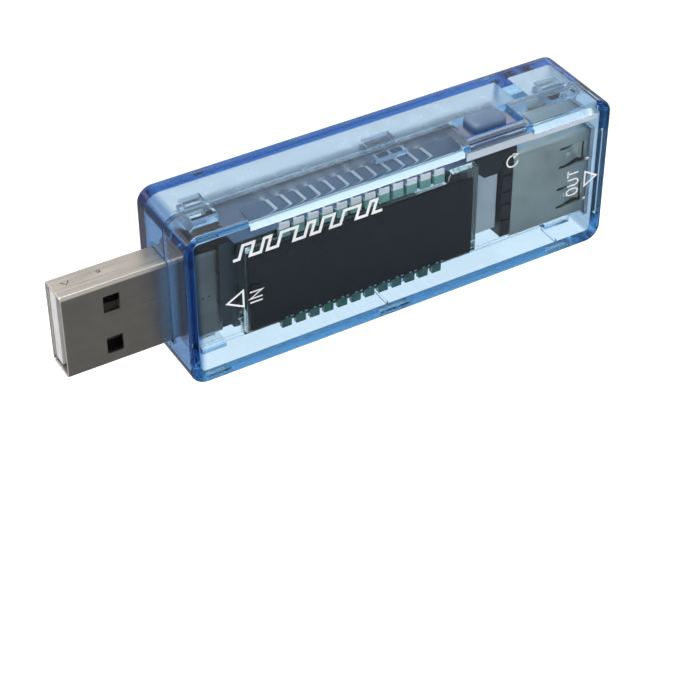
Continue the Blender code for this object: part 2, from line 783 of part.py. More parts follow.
def pin_comb(name, upper, mat):
    """A row of pins clipped on a glass ledge and held together by one bead of resin."""
    low, high = pin_rows()
    side = 1 if upper else -1
    row = high if upper else low
    ledge = LEDGE_Z[1] if upper else LEDGE_Z[0]
    half = PIN_PITCH * (PIN_COUNT - 1) / 2 + 0.8
    centre = PIN_FIRST + PIN_PITCH * (PIN_COUNT - 1) / 2
    z = sorted((ledge - side * 1.1, ledge + side * 0.05))
    bm = bmesh.new()
    add_box(bm, (centre - half, centre + half), (-4.35, -3.87), z)
    comb = make_object(name, bm, (centre, -3.9, row), mat)
    bm = bmesh.new()
    for px in pin_positions():
        outline = (
            (ledge - side * 0.6, -4.5),
            (row + side * 0.15, -4.5),
            (row + side * 0.15, BOARD_BACK + 0.5),
            (row - side * 0.15, BOARD_BACK + 0.5),
            (row - side * 0.15, -4.1),
            (ledge - side * 0.6, -4.1),
        )
        add_leg(bm, (px - 0.25, px + 0.25), outline)
    join(comb, guide(name + "_row", bm))
    return comb


def main():
    clear_scene()
    blue = material("blue_polycarbonate", (0.30, 0.52, 0.80), 0.12, 0.0, 0.8)
    steel = material("nickel_plated_steel", (0.62, 0.60, 0.58), 0.32, 1.0)
    bright = material("tin_plated_steel", (0.66, 0.68, 0.70), 0.28, 1.0)
    gold = material("gold_plated_brass", (0.86, 0.68, 0.36), 0.25, 1.0)
    white = material("white_nylon", (0.86, 0.86, 0.85), 0.45)
    black = material("black_plastic", (0.02, 0.02, 0.022), 0.4)
    board = material("green_board", (0.02, 0.12, 0.11), 0.45)
    glass = material("display_glass", (0.75, 0.84, 0.86), 0.05, 0.0, 0.6)
    film = material("polarizer_film", (0.02, 0.022, 0.03), 0.15)
    clear = material("clear_acrylic", (0.80, 0.88, 0.92), 0.1, 0.0, 0.6)
    grey = material("light_grey_plastic", (0.55, 0.58, 0.66), 0.5)
    lamp = material("lamp_resin", (0.92, 0.90, 0.70), 0.35)
    tin = material("tinned_copper", (0.60, 0.66, 0.64), 0.35, 1.0)
    tan = material("ceramic_tan", (0.55, 0.42, 0.28), 0.5)
    cream = material("resistor_black", (0.05, 0.05, 0.06), 0.5)
    front_shell(blue)
    back_shell(blue)
    reset_button(blue)
    reset_switch_body(black)
    reset_switch_plunger(black)
    reset_switch_legs(tin)
    plug_shell(steel)
    plug_insulator(white)
    plug_contacts(gold)
    socket_shell(bright)
    socket_insulator(black)
    socket_contacts(gold)
    circuit_board(board)
    board_parts(black, tan, cream, bright)
    display(glass, film, clear, grey, lamp)
    pin_comb("lcd_pins_upper", True, tin)
    pin_comb("lcd_pins_lower", False, tin)


main()
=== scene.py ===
"""A see-through blue USB power meter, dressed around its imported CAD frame.

Lengths are written in millimetres, with x = 0 at the outside of the case's plug-end wall,
y = 0 in the middle of its thickness (-y is the display side) and z = 0 on the table. Only the
softbox's size and place are in Blender's metres.
"""

import math

import bmesh
import bpy
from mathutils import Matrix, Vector


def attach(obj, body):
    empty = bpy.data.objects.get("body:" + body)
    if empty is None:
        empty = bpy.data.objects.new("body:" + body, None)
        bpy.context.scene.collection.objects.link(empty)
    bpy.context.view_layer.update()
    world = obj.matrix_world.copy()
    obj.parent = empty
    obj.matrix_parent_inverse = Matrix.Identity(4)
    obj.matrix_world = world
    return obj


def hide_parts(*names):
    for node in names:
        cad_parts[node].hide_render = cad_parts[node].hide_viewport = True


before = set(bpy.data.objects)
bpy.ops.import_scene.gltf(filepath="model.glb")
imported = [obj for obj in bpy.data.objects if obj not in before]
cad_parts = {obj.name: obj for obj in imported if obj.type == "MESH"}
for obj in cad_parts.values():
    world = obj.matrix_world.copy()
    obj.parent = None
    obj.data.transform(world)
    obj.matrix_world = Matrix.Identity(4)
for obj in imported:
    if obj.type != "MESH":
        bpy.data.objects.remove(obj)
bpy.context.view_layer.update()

MM = 0.001

# ------------------------------------------------------------------ sizes
CASE_X = (0.0, 61.2)
CASE_Z = (0.0, 22.0)
CASE_FRONT = -6.5
CASE_BACK = 6.5
CORNER = 2.2
EDGE = 0.5
FILLET = 0.15
ARC_STEPS = 6
WALL = 1.4
FACE_WALL = 1.2
PARTING = -0.7
RIM_GAP = 0.02  # from the parting line to each half's rim
LATCHES = ((3.2, 6.6), (28.4, 33.0), (54.6, 58.6))
IN_WALL = CASE_Z[1] - WALL + 0.5  # latches and catches are rooted up to here in the top wall
SLOPES = ((9.0, 39.2), (49.6, 60.0))
SLOPE_OUTLINE = ((-5.5, 19.84), (-5.5, 20.9), (-1.87, 20.9))
SLOPE_SHARP = 15.8  # degrees: the rounded edges turn by 15 a step, the sloped underside by 16.3
RECESS_X = (40.2, 48.6)
RECESS_FRONT = -4.75
AXIS_Z = 9.8
PLUG_TIP = -13.9
PLUG_Y = 0.8
PLUG_HALF = (2.25, 6.0)  # half of the plug's thickness and of its width
PLUG_REAR = 6.5
COLLAR_STEP = 0.42  # how far the screening plate stands off the plug's sleeve
SOCKET_Y = -0.65
SOCKET_HALF = (2.85, 6.55)
SOCKET_X = (48.05, 61.1)
FINGERS = ((5.3, 8.5), (11.6, 14.8))
SHEET = 0.3
TONGUE = 1.84
TONGUE_HALF = 5.55
CONTACT_Z = (3.5, 1.0, -1.0, -3.5)
CONTACT_HALF = 0.8
MID_X = (PLUG_TIP + CASE_X[1]) / 2  # the frame's x = 0 is midway between the two ends
BOARD_BACK = 3.5
PIN_X = [14.0 + 2.0 * k for k in range(12)]
PIN_ROWS = (3.15, 18.15)
GLASS_X = (8.4, 41.6)
GLASS_Z = (4.7, 16.6)
GLASS_EAR = 17.8  # the front glass rises to here at its socket end
FILM_X = (8.62, 40.72)
FILM_Z = (4.88, 16.45)
FRONT_GLASS_Y = (-4.93, -3.85)
REAR_GLASS_Y = (-3.83, -2.75)
LEDGE_Z = (3.45, 17.85)
INK_DEPTH = 0.025

# ------------------------------------------------------------------ colours and lights
CASE_ABSORPTION = (0.200, 0.610, 0.84)
CASE_DENSITY = 208.0
CASE_HAZE = 0.28
# Painted shade: base colours that darken the two end walls.
PLUG_END_SHADE = (0.11, 0.25, 0.47)
SOCKET_END_SHADE = (0.22, 0.31, 0.42)
# Painted shade: the base colour inside the matt top wall.
MATT_TOP_SHADE = (0.72, 0.73, 0.79)
NO_TINT = (1.0, 1.0, 1.0)
CAMERA_PLACE = (-77.364, -173.944, 156.621)
CAMERA_TARGET = (26.186, 0.140, -9.585)
CAMERA_LENS = 101.6019
FLOOR_HALF = 900.0
FLOOR_Z = -0.05
FLOOR_FRONT_Y = -4.0  # the floor is darker in mirrors in front of this line
SKY = ((0.46, (0.60, 0.60, 0.60)), (0.54, (0.66, 0.66, 0.67)),
       (0.80, (0.88, 0.88, 0.89)), (1.0, (1.0, 1.0, 1.0)))
SHADE_TOWARDS = (0.395, -0.664, -0.634)
SHADE = ((0.50, NO_TINT), (0.80, (0.26, 0.26, 0.26)))
WARM_STRIP = (3.0, 2.65, 2.48)
WORLD_STRENGTH = 0.75
SOFTBOX_SIZE = (0.5, 0.3)
SOFTBOX_WATTS = 2.2
SOFTBOX_PLACE = (-0.12, 0.12, 0.45)


# ------------------------------------------------------------------ materials
def new_material(name):
    mat = bpy.data.materials.new(name)
    mat.use_nodes = True
    tree = mat.node_tree
    shader = tree.nodes["Principled BSDF"]
    return mat, tree, shader


def node(tree, kind, **inputs):
    """A new node with some of its inputs set."""
    made = tree.nodes.new(kind)
    for key, value in inputs.items():
        made.inputs[key.replace("_", " ")].default_value = value
    return made


def axes(tree, vector):
    """The parts of a vector, by their letters."""
    split = tree.nodes.new("ShaderNodeSeparateXYZ")
    tree.links.new(vector, split.inputs["Vector"])
    return split.outputs


def geometry(tree, what):
    """Where a point is, or which way its surface looks, in the world."""
    return tree.nodes.new("ShaderNodeNewGeometry").outputs[what]


def object_coords(tree, scale=(1.0, 1.0, 1.0)):
    coords = tree.nodes.new("ShaderNodeTexCoord")
    mapping = tree.nodes.new("ShaderNodeMapping")
    mapping.inputs["Scale"].default_value = scale
    tree.links.new(coords.outputs["Object"], mapping.inputs["Vector"])
    return mapping.outputs["Vector"]


def noise(tree, vector, scale, detail=3.0, rough=0.5):
    made = node(tree, "ShaderNodeTexNoise", Scale=scale, Detail=detail, Roughness=rough)
    tree.links.new(vector, made.inputs["Vector"])
    return made.outputs["Fac"]


def spread(tree, source, low, high, start=0.3, end=0.7):
    """Carries a value's range from start to end over to low to high, and holds it there."""
    made = tree.nodes.new("ShaderNodeMapRange")
    made.inputs["From Min"].default_value = start
    made.inputs["From Max"].default_value = end
    made.inputs["To Min"].default_value = low
    made.inputs["To Max"].default_value = high
    tree.links.new(source, made.inputs["Value"])
    return made.outputs["Result"]


def ramp(tree, source, stops):
    made = tree.nodes.new("ShaderNodeValToRGB")
    band = made.color_ramp
    while len(band.elements) < len(stops):
        band.elements.new(0.5)
    for element, (place, colour) in zip(band.elements, stops):
        element.position = place
        element.color = (*colour, 1.0)
    tree.links.new(source, made.inputs["Fac"])
    return made.outputs["Color"]


def mottled(tree, patch, colour, variation):
    """A colour that wavers with a noise, by a share of itself."""
    dark = tuple(c * (1 - variation) for c in colour)
    light = tuple(min(1.0, c * (1 + variation)) for c in colour)
    return ramp(tree, patch, ((0.3, dark), (0.7, light)))


def bump(tree, shader, height, strength, distance):
    made = node(tree, "ShaderNodeBump", Strength=strength, Distance=distance)
    tree.links.new(height, made.inputs["Height"])
    tree.links.new(made.outputs["Normal"], shader.inputs["Normal"])


def blue_plastic():
    """Clear blue polycarbonate: pale through one wall and deep blue along it; its two ends are painted
    a deeper blue, as painted shade.

    The moulding is matt on the inside of its top and bottom walls, and inside the top wall its base
    colour is darkened and blued as painted shade."""
    mat, tree, shader = new_material("case_blue")
    shader.inputs["Transmission Weight"].default_value = 1.0
    shader.inputs["IOR"].default_value = 1.49
    top, bottom = haze_masks(tree)
    # Painted shade: where the top wall is matt, its base colour is darkened and blued.
    matt_top_shade = ramp(tree, top, ((0.0, NO_TINT), (1.0, MATT_TOP_SHADE)))
    # Painted shade in the base colour: the deep blue end walls, times the darkened matt top wall.
    tree.links.new(product(tree, end_wall_shades(tree), matt_top_shade), shader.inputs["Base Color"])
    fine = noise(tree, object_coords(tree, (60.0, 60.0, 60.0)), 9.0, 4.0)
    cloud = spread(tree, fine, CASE_HAZE * 0.8, CASE_HAZE * 1.2)
    matt = maths(tree, "MULTIPLY", maths(tree, "ADD", top, bottom), cloud)
    skin = maths(tree, "ADD", spread(tree, fine, 0.02, 0.05), matt)
    tree.links.new(skin, shader.inputs["Roughness"])
    bump(tree, shader, noise(tree, object_coords(tree, (260.0, 60.0, 60.0)), 3.0, 2.0), 0.03, 0.0004)
    body = tree.nodes.new("ShaderNodeVolumeAbsorption")
    body.inputs["Color"].default_value = (*CASE_ABSORPTION, 1.0)
    body.inputs["Density"].default_value = CASE_DENSITY
    tree.links.new(body.outputs["Volume"], tree.nodes["Material Output"].inputs["Volume"])
    return mat


def end_wall_shades(tree):
    """Painted shade: a deep blue base colour in the two end walls. The stops are shares of a span just
    longer than the case.
    """
    along = spread(tree, axes(tree, object_coords(tree))["X"], 0.0, 1.0, -24.0 * MM, 38.0 * MM)
    middle = (0.985, 0.99, 1.0)
    return ramp(tree, along, ((0.0, PLUG_END_SHADE), (0.027, PLUG_END_SHADE), (0.038, middle),
                              (0.966, middle), (0.977, SOCKET_END_SHADE)))


def haze_masks(tree):
    """Where the shell is matt: inside its top wall and inside its bottom wall, fading forward."""
    place = axes(tree, object_coords(tree))
    height = place["Z"]
    back = spread(tree, place["Y"], 0.12, 1.0, -3.6 * MM, -2.0 * MM)
    top = maths(tree, "MULTIPLY", spread(tree, height, 0.0, 1.0, 20.0 * MM, 20.4 * MM),
                spread(tree, height, 1.0, 0.0, 21.0 * MM, 21.3 * MM))
    bottom = maths(tree, "MULTIPLY", spread(tree, height, 0.0, 0.7, 0.8 * MM, 1.0 * MM),
                   spread(tree, height, 1.0, 0.0, 2.2 * MM, 2.6 * MM))
    return maths(tree, "MULTIPLY", top, back), maths(tree, "MULTIPLY", bottom, back)


def maths(tree, operation, first, second):
    """A sum, product or test of two values, each of them a number or an output."""
    made = tree.nodes.new("ShaderNodeMath")
    made.operation = operation
    for socket, value in zip(made.inputs, (first, second)):
        if isinstance(value, (int, float)):
            socket.default_value = value
        else:
            tree.links.new(value, socket)
    return made.outputs[0]


def facing(tree, direction, towards):
    """How closely a direction points towards another, as a cosine."""
    made = tree.nodes.new("ShaderNodeVectorMath")
    made.operation = "DOT_PRODUCT"
    made.inputs[1].default_value = towards
    tree.links.new(direction, made.inputs[0])
    return made.outputs["Value"]


def product(tree, first, second):
    made = tree.nodes.new("ShaderNodeVectorMath")
    made.operation = "MULTIPLY"
    tree.links.new(first, made.inputs[0])
    tree.links.new(second, made.inputs[1])
    return made.outputs["Vector"]


def metal(name, colour, roughness, grain=(40.0, 900.0, 900.0), depth=0.06, variation=0.08,
          top_shade=1.0):
    """Plated sheet steel with faint drawing lines along it, and, if asked, painted shade that darkens
    its upward-facing side.
    """
    mat, tree, shader = new_material(name)
    vector = object_coords(tree, grain)
    lines = noise(tree, vector, 3.0, 4.0, 0.6)
    patch = noise(tree, object_coords(tree, (220.0, 220.0, 220.0)), 1.5, 2.0)
    tint = mottled(tree, patch, colour, variation)
    if top_shade < 1.0:
        # Painted shade: the colour darkens where the surface faces up.
        upward = axes(tree, geometry(tree, "Normal"))["Z"]
        tint = product(tree, tint, spread(tree, upward, 1.0, top_shade, 0.5, 0.9))
    tree.links.new(tint, shader.inputs["Base Color"])
    shader.inputs["Metallic"].default_value = 1.0
    tree.links.new(spread(tree, lines, roughness - 0.06, roughness + 0.08), shader.inputs["Roughness"])
    bump(tree, shader, lines, depth, 0.0001)
    return mat


def plastic(name, colour, roughness, grain=900.0, depth=0.12, variation=0.1, coat=0.0, glow=0.0):
    """Moulded plastic with a fine skin grain."""
    mat, tree, shader = new_material(name)
    vector = object_coords(tree)
    tint = mottled(tree, noise(tree, vector, 260.0, 3.0), colour, variation)
    tree.links.new(tint, shader.inputs["Base Color"])
    fine = noise(tree, vector, grain * 4, 4.0)
    tree.links.new(spread(tree, fine, roughness - 0.05, roughness + 0.07), shader.inputs["Roughness"])
    shader.inputs["Coat Weight"].default_value = coat
    # Emission: painted light, a glow for parts that are no lamps.
    if glow:
        tree.links.new(tint, shader.inputs["Emission Color"])
        shader.inputs["Emission Strength"].default_value = glow
    bump(tree, shader, fine, depth, 0.00004)
    return mat


def glass(name, colour, roughness=0.02):
    """Clear glass or acrylic with a faint tint."""
    mat, tree, shader = new_material(name)
    vector = object_coords(tree)
    patch = noise(tree, vector, 120.0, 2.0)
    dark = tuple(c * 0.94 for c in colour)
    tint = ramp(tree, patch, ((0.3, dark), (0.7, colour)))
    tree.links.new(tint, shader.inputs["Base Color"])
    shader.inputs["Transmission Weight"].default_value = 1.0
    shader.inputs["IOR"].default_value = 1.5
    tree.links.new(spread(tree, patch, roughness, roughness + 0.03), shader.inputs["Roughness"])
    return mat


def frosted_blue():
    """The reset button: cloudy blue plastic with painted shade by height: pale in its flange, darkest
    round the cap's foot and lighter again towards the cap's top.
    """
    mat, tree, shader = new_material("button_blue")
    vector = object_coords(tree)
    cloud = noise(tree, vector, 300.0, 3.0)
    tint = ramp(tree, cloud, ((0.3, (0.86, 0.88, 0.92)), (0.7, (1.0, 1.0, 1.0))))
    # Painted shade: the colour steps with height, darkest where the cap rises from its shoulder.
    rise = spread(tree, axes(tree, vector)["Z"], 0.0, 1.0, 20.8 * MM, 22.9 * MM)
    height_shade = ramp(tree, rise, ((0.0, (0.46, 0.48, 0.62)), (0.24, (0.46, 0.48, 0.62)),
                              (0.42, (0.05, 0.12, 0.33)), (0.68, (0.11, 0.22, 0.44)),
                              (0.90, (0.23, 0.37, 0.57))))
    tree.links.new(product(tree, tint, height_shade), shader.inputs["Base Color"])
    shader.inputs["Transmission Weight"].default_value = 0.62
    shader.inputs["IOR"].default_value = 1.45
    fine = noise(tree, vector, 3600.0, 4.0)
    tree.links.new(spread(tree, fine, 0.34, 0.46), shader.inputs["Roughness"])
    bump(tree, shader, fine, 0.1, 0.00004)
    return mat


def board_material():
    """Dark teal solder mask over a woven glass base, which shows pale at the board's edges."""
    mat, tree, shader = new_material("solder_mask")
    vector = object_coords(tree)
    weave = node(tree, "ShaderNodeTexChecker", Scale=2600.0)
    tree.links.new(vector, weave.inputs["Vector"])
    cloud = noise(tree, vector, 160.0, 3.0)
    tint = ramp(tree, cloud, ((0.3, (0.010, 0.050, 0.066)), (0.7, (0.016, 0.076, 0.092))))
    flat = maths(tree, "ABSOLUTE", axes(tree, geometry(tree, "Normal"))["Y"], 0.0)
    edge = spread(tree, flat, 1.0, 0.0, 0.3, 0.7)
    mix = tree.nodes.new("ShaderNodeMix")
    mix.data_type = "RGBA"
    tree.links.new(edge, mix.inputs["Factor"])
    tree.links.new(tint, mix.inputs["A"])
    mix.inputs["B"].default_value = (0.42, 0.52, 0.58, 1.0)
    tree.links.new(mix.outputs["Result"], shader.inputs["Base Color"])
    shader.inputs["Roughness"].default_value = 0.4
    shader.inputs["Coat Weight"].default_value = 0.1
    bump(tree, shader, weave.outputs["Fac"], 0.08, 0.00003)
    return mat


def film_material():
    """The display's dark, glossy film."""
    mat, tree, shader = new_material("display_film")
    vector = object_coords(tree)
    cloud = noise(tree, vector, 60.0, 2.0)
    tint = ramp(tree, cloud, ((0.3, (0.006, 0.008, 0.014)), (0.7, (0.010, 0.012, 0.020))))
    tree.links.new(tint, shader.inputs["Base Color"])
    tree.links.new(spread(tree, cloud, 0.08, 0.13), shader.inputs["Roughness"])
    shader.inputs["Specular IOR Level"].default_value = 0.12
    return mat


BLUE = blue_plastic()
BUTTON_BLUE = frosted_blue()
# The plug's sleeve has painted shade on its upper side.
PLUG_STEEL = metal("plug_steel", (0.80, 0.765, 0.70), 0.32, depth=0.02, variation=0.05, top_shade=0.52)
COLLAR_STEEL = metal("collar_steel", (0.36, 0.38, 0.38), 0.42, depth=0.02, variation=0.08)
SOCKET_STEEL = metal("socket_steel", (0.76, 0.79, 0.73), 0.38)
GOLD = metal("contact_gold", (0.60, 0.44, 0.20), 0.3)
TIN = metal("tinned_pins", (0.86, 0.86, 0.87), 0.42)
SOLDER = metal("solder", (0.66, 0.67, 0.68), 0.25, variation=0.15)
WHITE = plastic("white_nylon", (0.58, 0.58, 0.59), 0.42)
BLACK = plastic("black_plastic", (0.012, 0.013, 0.016), 0.38)
TAPE = plastic("slate_tape", (0.135, 0.20, 0.30), 0.55)
# Painted light: this pale resin glows a little, though it is no lamp.
PALE_GLOW = plastic("pale_resin_glow", (0.94, 0.86, 0.85), 0.4, variation=0.03, glow=0.26)
DARK_TAPE = plastic("dark_tape", (0.028, 0.045, 0.065), 0.4, coat=0.2)
FOAM = plastic("black_foam", (0.010, 0.011, 0.013), 0.85, grain=500.0, depth=0.5)
CHIP = plastic("chip_resin", (0.022, 0.022, 0.024), 0.55, depth=0.3)
GREY = plastic("hood_grey", (0.76, 0.82, 0.86), 0.5)
# White ink for the printing, also the colour of the painted highlights on the glass ledge.
INK_AND_HIGHLIGHT = plastic("white_ink_and_highlight", (0.80, 0.82, 0.84), 0.5)
TEAL = plastic("teal_resin", (0.018, 0.15, 0.12), 0.22, coat=0.7, variation=0.4)
# Painted shade: a teal shadow tone, for the pin beads and the dark strips on the glass.
TEAL_SHADE = plastic("teal_shadow", (0.008, 0.05, 0.045), 0.35)
TEAL_PALE = plastic("teal_pads", (0.30, 0.62, 0.52), 0.3, coat=0.5)
TAN = plastic("ceramic_tan", (0.42, 0.28, 0.16), 0.5)
LAMP = plastic("lamp_resin", (0.86, 0.80, 0.46), 0.3)
GLASS = glass("display_glass", (0.86, 0.95, 0.93))
CLEAR = glass("guide_acrylic", (0.90, 0.95, 0.98), 0.08)
BOARD_MAT = board_material()
FILM = film_material()


# ------------------------------------------------------------------ mesh helpers
def at(x, y, z):
    return Vector(((x - MID_X) * MM, y * MM, z * MM))


def new_object(name, bm):
    """An object from points that were drawn in millimetres."""
    bmesh.ops.recalc_face_normals(bm, faces=bm.faces)
    for vert in bm.verts:
        vert.co = at(*vert.co)
    mesh = bpy.data.meshes.new(name)
    bm.to_mesh(mesh)
    bm.free()
    obj = bpy.data.objects.new(name, mesh)
    bpy.context.scene.collection.objects.link(obj)
    return obj


def finish_mesh(name, bm, mat, body="meter", angle=35.0, weighted=False):
    """A shaded piece. It rides on a CAD body, unless its booleans and its ride come later."""
    obj = new_object(name, bm)
    obj.data.materials.append(mat)
    obj.data.shade_smooth()
    obj.data.set_sharp_from_angle(angle=math.radians(angle))
    if weighted:
        add_weighted(obj)
    if body:
        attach(obj, body)
    return obj


def add_weighted(obj):
    """Shades flat faces flat, right up to their rounded edges."""
    modifier = obj.modifiers.new("flat_faces", "WEIGHTED_NORMAL")
    modifier.keep_sharp = True
    modifier.weight = 50


def rounded_rect(a, b, radius, steps):
    """Corner points of a rounded rectangle, as pairs."""
    radius = min(radius, (a[1] - a[0]) / 2 - 1e-4, (b[1] - b[0]) / 2 - 1e-4)
    corners = (
        (a[1] - radius, b[1] - radius, 0),
        (a[0] + radius, b[1] - radius, 90),
        (a[0] + radius, b[0] + radius, 180),
        (a[1] - radius, b[0] + radius, 270),
    )
    points = []
    for ca, cb, start in corners:
        for step in range(steps + 1):
            turn = math.radians(start + 90 * step / steps)
            points.append((ca + radius * math.cos(turn), cb + radius * math.sin(turn)))
    return points


def loft(bm, rings, closed=False, caps=True):
    """Quads between rings of points. Each ring is a list of (x, y, z)."""
    rows = [[bm.verts.new(point) for point in ring] for ring in rings]
    count = len(rows[0])
    pairs = list(zip(rows, rows[1:]))
    if closed:
        pairs.append((rows[-1], rows[0]))
    for low, high in pairs:
        for k in range(count):
            n = (k + 1) % count
            bm.faces.new((low[k], low[n], high[n], high[k]))
    if caps and not closed:
        bm.faces.new(rows[0])
        bm.faces.new(rows[-1])
    return rows


def add_box(bm, x, y, z, bevel=0.0, segments=2):
    """A box between two x, two y and two z values, with rounded edges if asked."""
    made = bmesh.ops.create_cube(bm, size=1.0)
    for vert in made["verts"]:
        vert.co.x = x[0] if vert.co.x < 0 else x[1]
        vert.co.y = y[0] if vert.co.y < 0 else y[1]
        vert.co.z = z[0] if vert.co.z < 0 else z[1]
    if bevel:
        edges = list({edge for vert in made["verts"] for edge in vert.link_edges})
        bmesh.ops.bevel(bm, geom=edges, offset=bevel, segments=segments, profile=0.5, affect="EDGES")


def add_prism(bm, axis, outline, span, bevel=0.0, segments=2):
    """An outline drawn in the two other axes, carried along one axis."""
    def place(point, value):
        a, b = point
        return {"x": (value, a, b), "y": (a, value, b), "z": (a, b, value)}[axis]

    first = [bm.verts.new(place(point, span[0])) for point in outline]
    last = [bm.verts.new(place(point, span[1])) for point in outline]
    faces = [bm.faces.new(first), bm.faces.new(list(reversed(last)))]
    count = len(outline)
    for k in range(count):
        n = (k + 1) % count
        faces.append(bm.faces.new((first[k], last[k], last[n], first[n])))
    if bevel:
        edges = list({edge for face in faces for edge in face.edges})
        bmesh.ops.bevel(bm, geom=edges, offset=bevel, segments=segments, profile=0.5, affect="EDGES")


def circle(cx, cy, radius, steps):
    """Points round a circle, as pairs."""
    return [(cx + radius * math.cos(2 * math.pi * k / steps),
             cy + radius * math.sin(2 * math.pi * k / steps)) for k in range(steps)]


def combine(obj, steps):
    """Adds to an object's mesh and cuts from it: the steps are pairs of an operation and a bmesh."""
    tools = []
    for operation, bm in steps:
        other = new_object("tool", bm)
        tools.append(other)
        modifier = obj.modifiers.new("step", "BOOLEAN")
        modifier.operation = operation
        modifier.solver = "EXACT"
        modifier.use_self = True
        modifier.object = other
    bpy.context.view_layer.update()
    graph = bpy.context.evaluated_depsgraph_get()
    mesh = bpy.data.meshes.new_from_object(obj.evaluated_get(graph))
    obj.modifiers.clear()
    old = obj.data
    obj.data = mesh
    bpy.data.meshes.remove(old)
    for other in tools:
        bpy.data.objects.remove(other, do_unlink=True)


def settle(obj, angle=35.0):
    """Shades a combined mesh."""
    obj.data.shade_smooth()
    obj.data.set_sharp_from_angle(angle=math.radians(angle))
    add_weighted(obj)


def ribbon(bm, points, width, y_from, y_to, closed=False):
    """A flat line of even width on an X-Z plane, with mitred corners and a little thickness."""
    count = len(points)
    left, right = [], []
    for k in range(count):
        here = Vector(points[k])
        before = Vector(points[k - 1]) if (k > 0 or closed) else None
        after = Vector(points[(k + 1) % count]) if (k < count - 1 or closed) else None
        din = (here - before).normalized() if before is not None else None
        dout = (after - here).normalized() if after is not None else None
        if din is None:
            din = dout
        if dout is None:
            dout = din
        nin = Vector((-din.y, din.x))
        nout = Vector((-dout.y, dout.x))
        mitre = (nin + nout).normalized()
        reach = width / 2 / max(mitre.dot(nin), 0.35)
        left.append(here + mitre * reach)
        right.append(here - mitre * reach)
    rings = []
    for a, b in zip(left, right):
        rings.append([(a.x, y_from, a.y), (b.x, y_from, b.y), (b.x, y_to, b.y), (a.x, y_to, a.y)])
    loft(bm, rings, closed=closed)


# ------------------------------------------------------------------ case
def case_rings(front):
    """Rings from the outside of the face, over the softly broken rim, to the inside of the face.

    Each level is how far a ring lies inside the case's outline, and its y."""
    sign = 1 if front else -1
    face = CASE_FRONT if front else CASE_BACK
    inner_face = face + sign * (FACE_WALL if front else WALL)
    rim = PARTING - sign * RIM_GAP
    turns = [math.radians(90 * k / ARC_STEPS) for k in range(ARC_STEPS + 1)]
    levels = []
    for turn in turns:
        levels.append((EDGE * (1 - math.sin(turn)), face + sign * EDGE * (1 - math.cos(turn))))
    for inset, below in ((0.0, 0.16), (0.04, 0.04), (0.14, 0.0), (WALL, 0.0)):
        levels.append((inset, rim - sign * below))
    for turn in turns:
        levels.append((WALL + FILLET * (1 - math.cos(turn)),
                       inner_face + sign * FILLET * (1 - math.sin(turn))))
    rings = []
    for inset, y in levels:
        ring = rounded_rect((CASE_X[0] + inset, CASE_X[1] - inset),
                            (CASE_Z[0] + inset, CASE_Z[1] - inset),
                            max(CORNER - inset, 0.5), 8)
        rings.append([(px, y, pz) for px, pz in ring])
    return rings


def opening_steps(low, high):
    """Cutters for the plug's and socket's wall openings between two y values."""
    steps = []
    for mid, half, gap, x in ((PLUG_Y, PLUG_HALF, 0.2, (-1.0, WALL + 0.6)),
                              (SOCKET_Y, SOCKET_HALF, 0.3, (CASE_X[1] - WALL - 0.6, CASE_X[1] + 1))):
        bm = bmesh.new()
        y = (max(low, mid - half[0] - gap), min(high, mid + half[0] + gap))
        add_box(bm, x, y, (AXIS_Z - half[1] - gap, AXIS_Z + half[1] + gap))
        steps.append(("DIFFERENCE", bm))
    return steps


def upright(outline, top):
    """An outline of (y, z) points near the top wall, or its mirror image near the bottom wall."""
    return [(y, z if top else CASE_Z[1] - z) for y, z in outline]


def latch_shapes(top):
    """The arms that reach into the back half. They hang a little lower from the top wall."""
    root = -2.3
    under = 19.4 if top else 19.8
    arm = ((root, under), (1.78, under), (1.9, under + 0.12), (1.9, 20.3), (-1.2, 20.3),
           (-1.2, IN_WALL), (root, IN_WALL))
    bm = bmesh.new()
    for span in LATCHES:
        add_prism(bm, "x", upright(arm, top), span)
    return bm


def catch_shapes(top):
    """The hooks on the arms, which snap into the back half's windows."""
    hook = ((0.5, 20.0), (1.8, 20.0), (1.8, 20.35), (1.5, IN_WALL), (0.5, IN_WALL))
    bm = bmesh.new()
    for first, last in LATCHES:
        add_prism(bm, "x", upright(hook, top), (first + 0.6, last - 0.6))
    return bm


def slope_shapes():
    """The sloped underside of the top wall near the display face, and two ribs on the bottom wall."""
    bm = bmesh.new()
    for span in SLOPES:
        add_prism(bm, "x", SLOPE_OUTLINE, span)
    for x in (28.15, 54.35):
        add_box(bm, (x - 0.13, x + 0.13), (-5.6, -2.0), (1.2, 1.75))
    return bm


def make_front_shell():
    """The display half, with the button's recess, six latches and the slope."""
    bm = bmesh.new()
    loft(bm, case_rings(True))
    shell = finish_mesh("case_front", bm, BLUE, body=None)
    steps = opening_steps(CASE_FRONT, PARTING + 2)
    recess = bmesh.new()
    add_box(recess, RECESS_X, (RECESS_FRONT, PARTING + 2), (20.0, 23.0))
    steps.append(("DIFFERENCE", recess))
    for top in (True, False):
        steps.append(("UNION", latch_shapes(top)))
        steps.append(("UNION", catch_shapes(top)))
    steps.append(("UNION", slope_shapes()))
    combine(shell, steps)
    settle(shell, SLOPE_SHARP)
    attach(shell, "meter")
    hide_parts("front_shell")


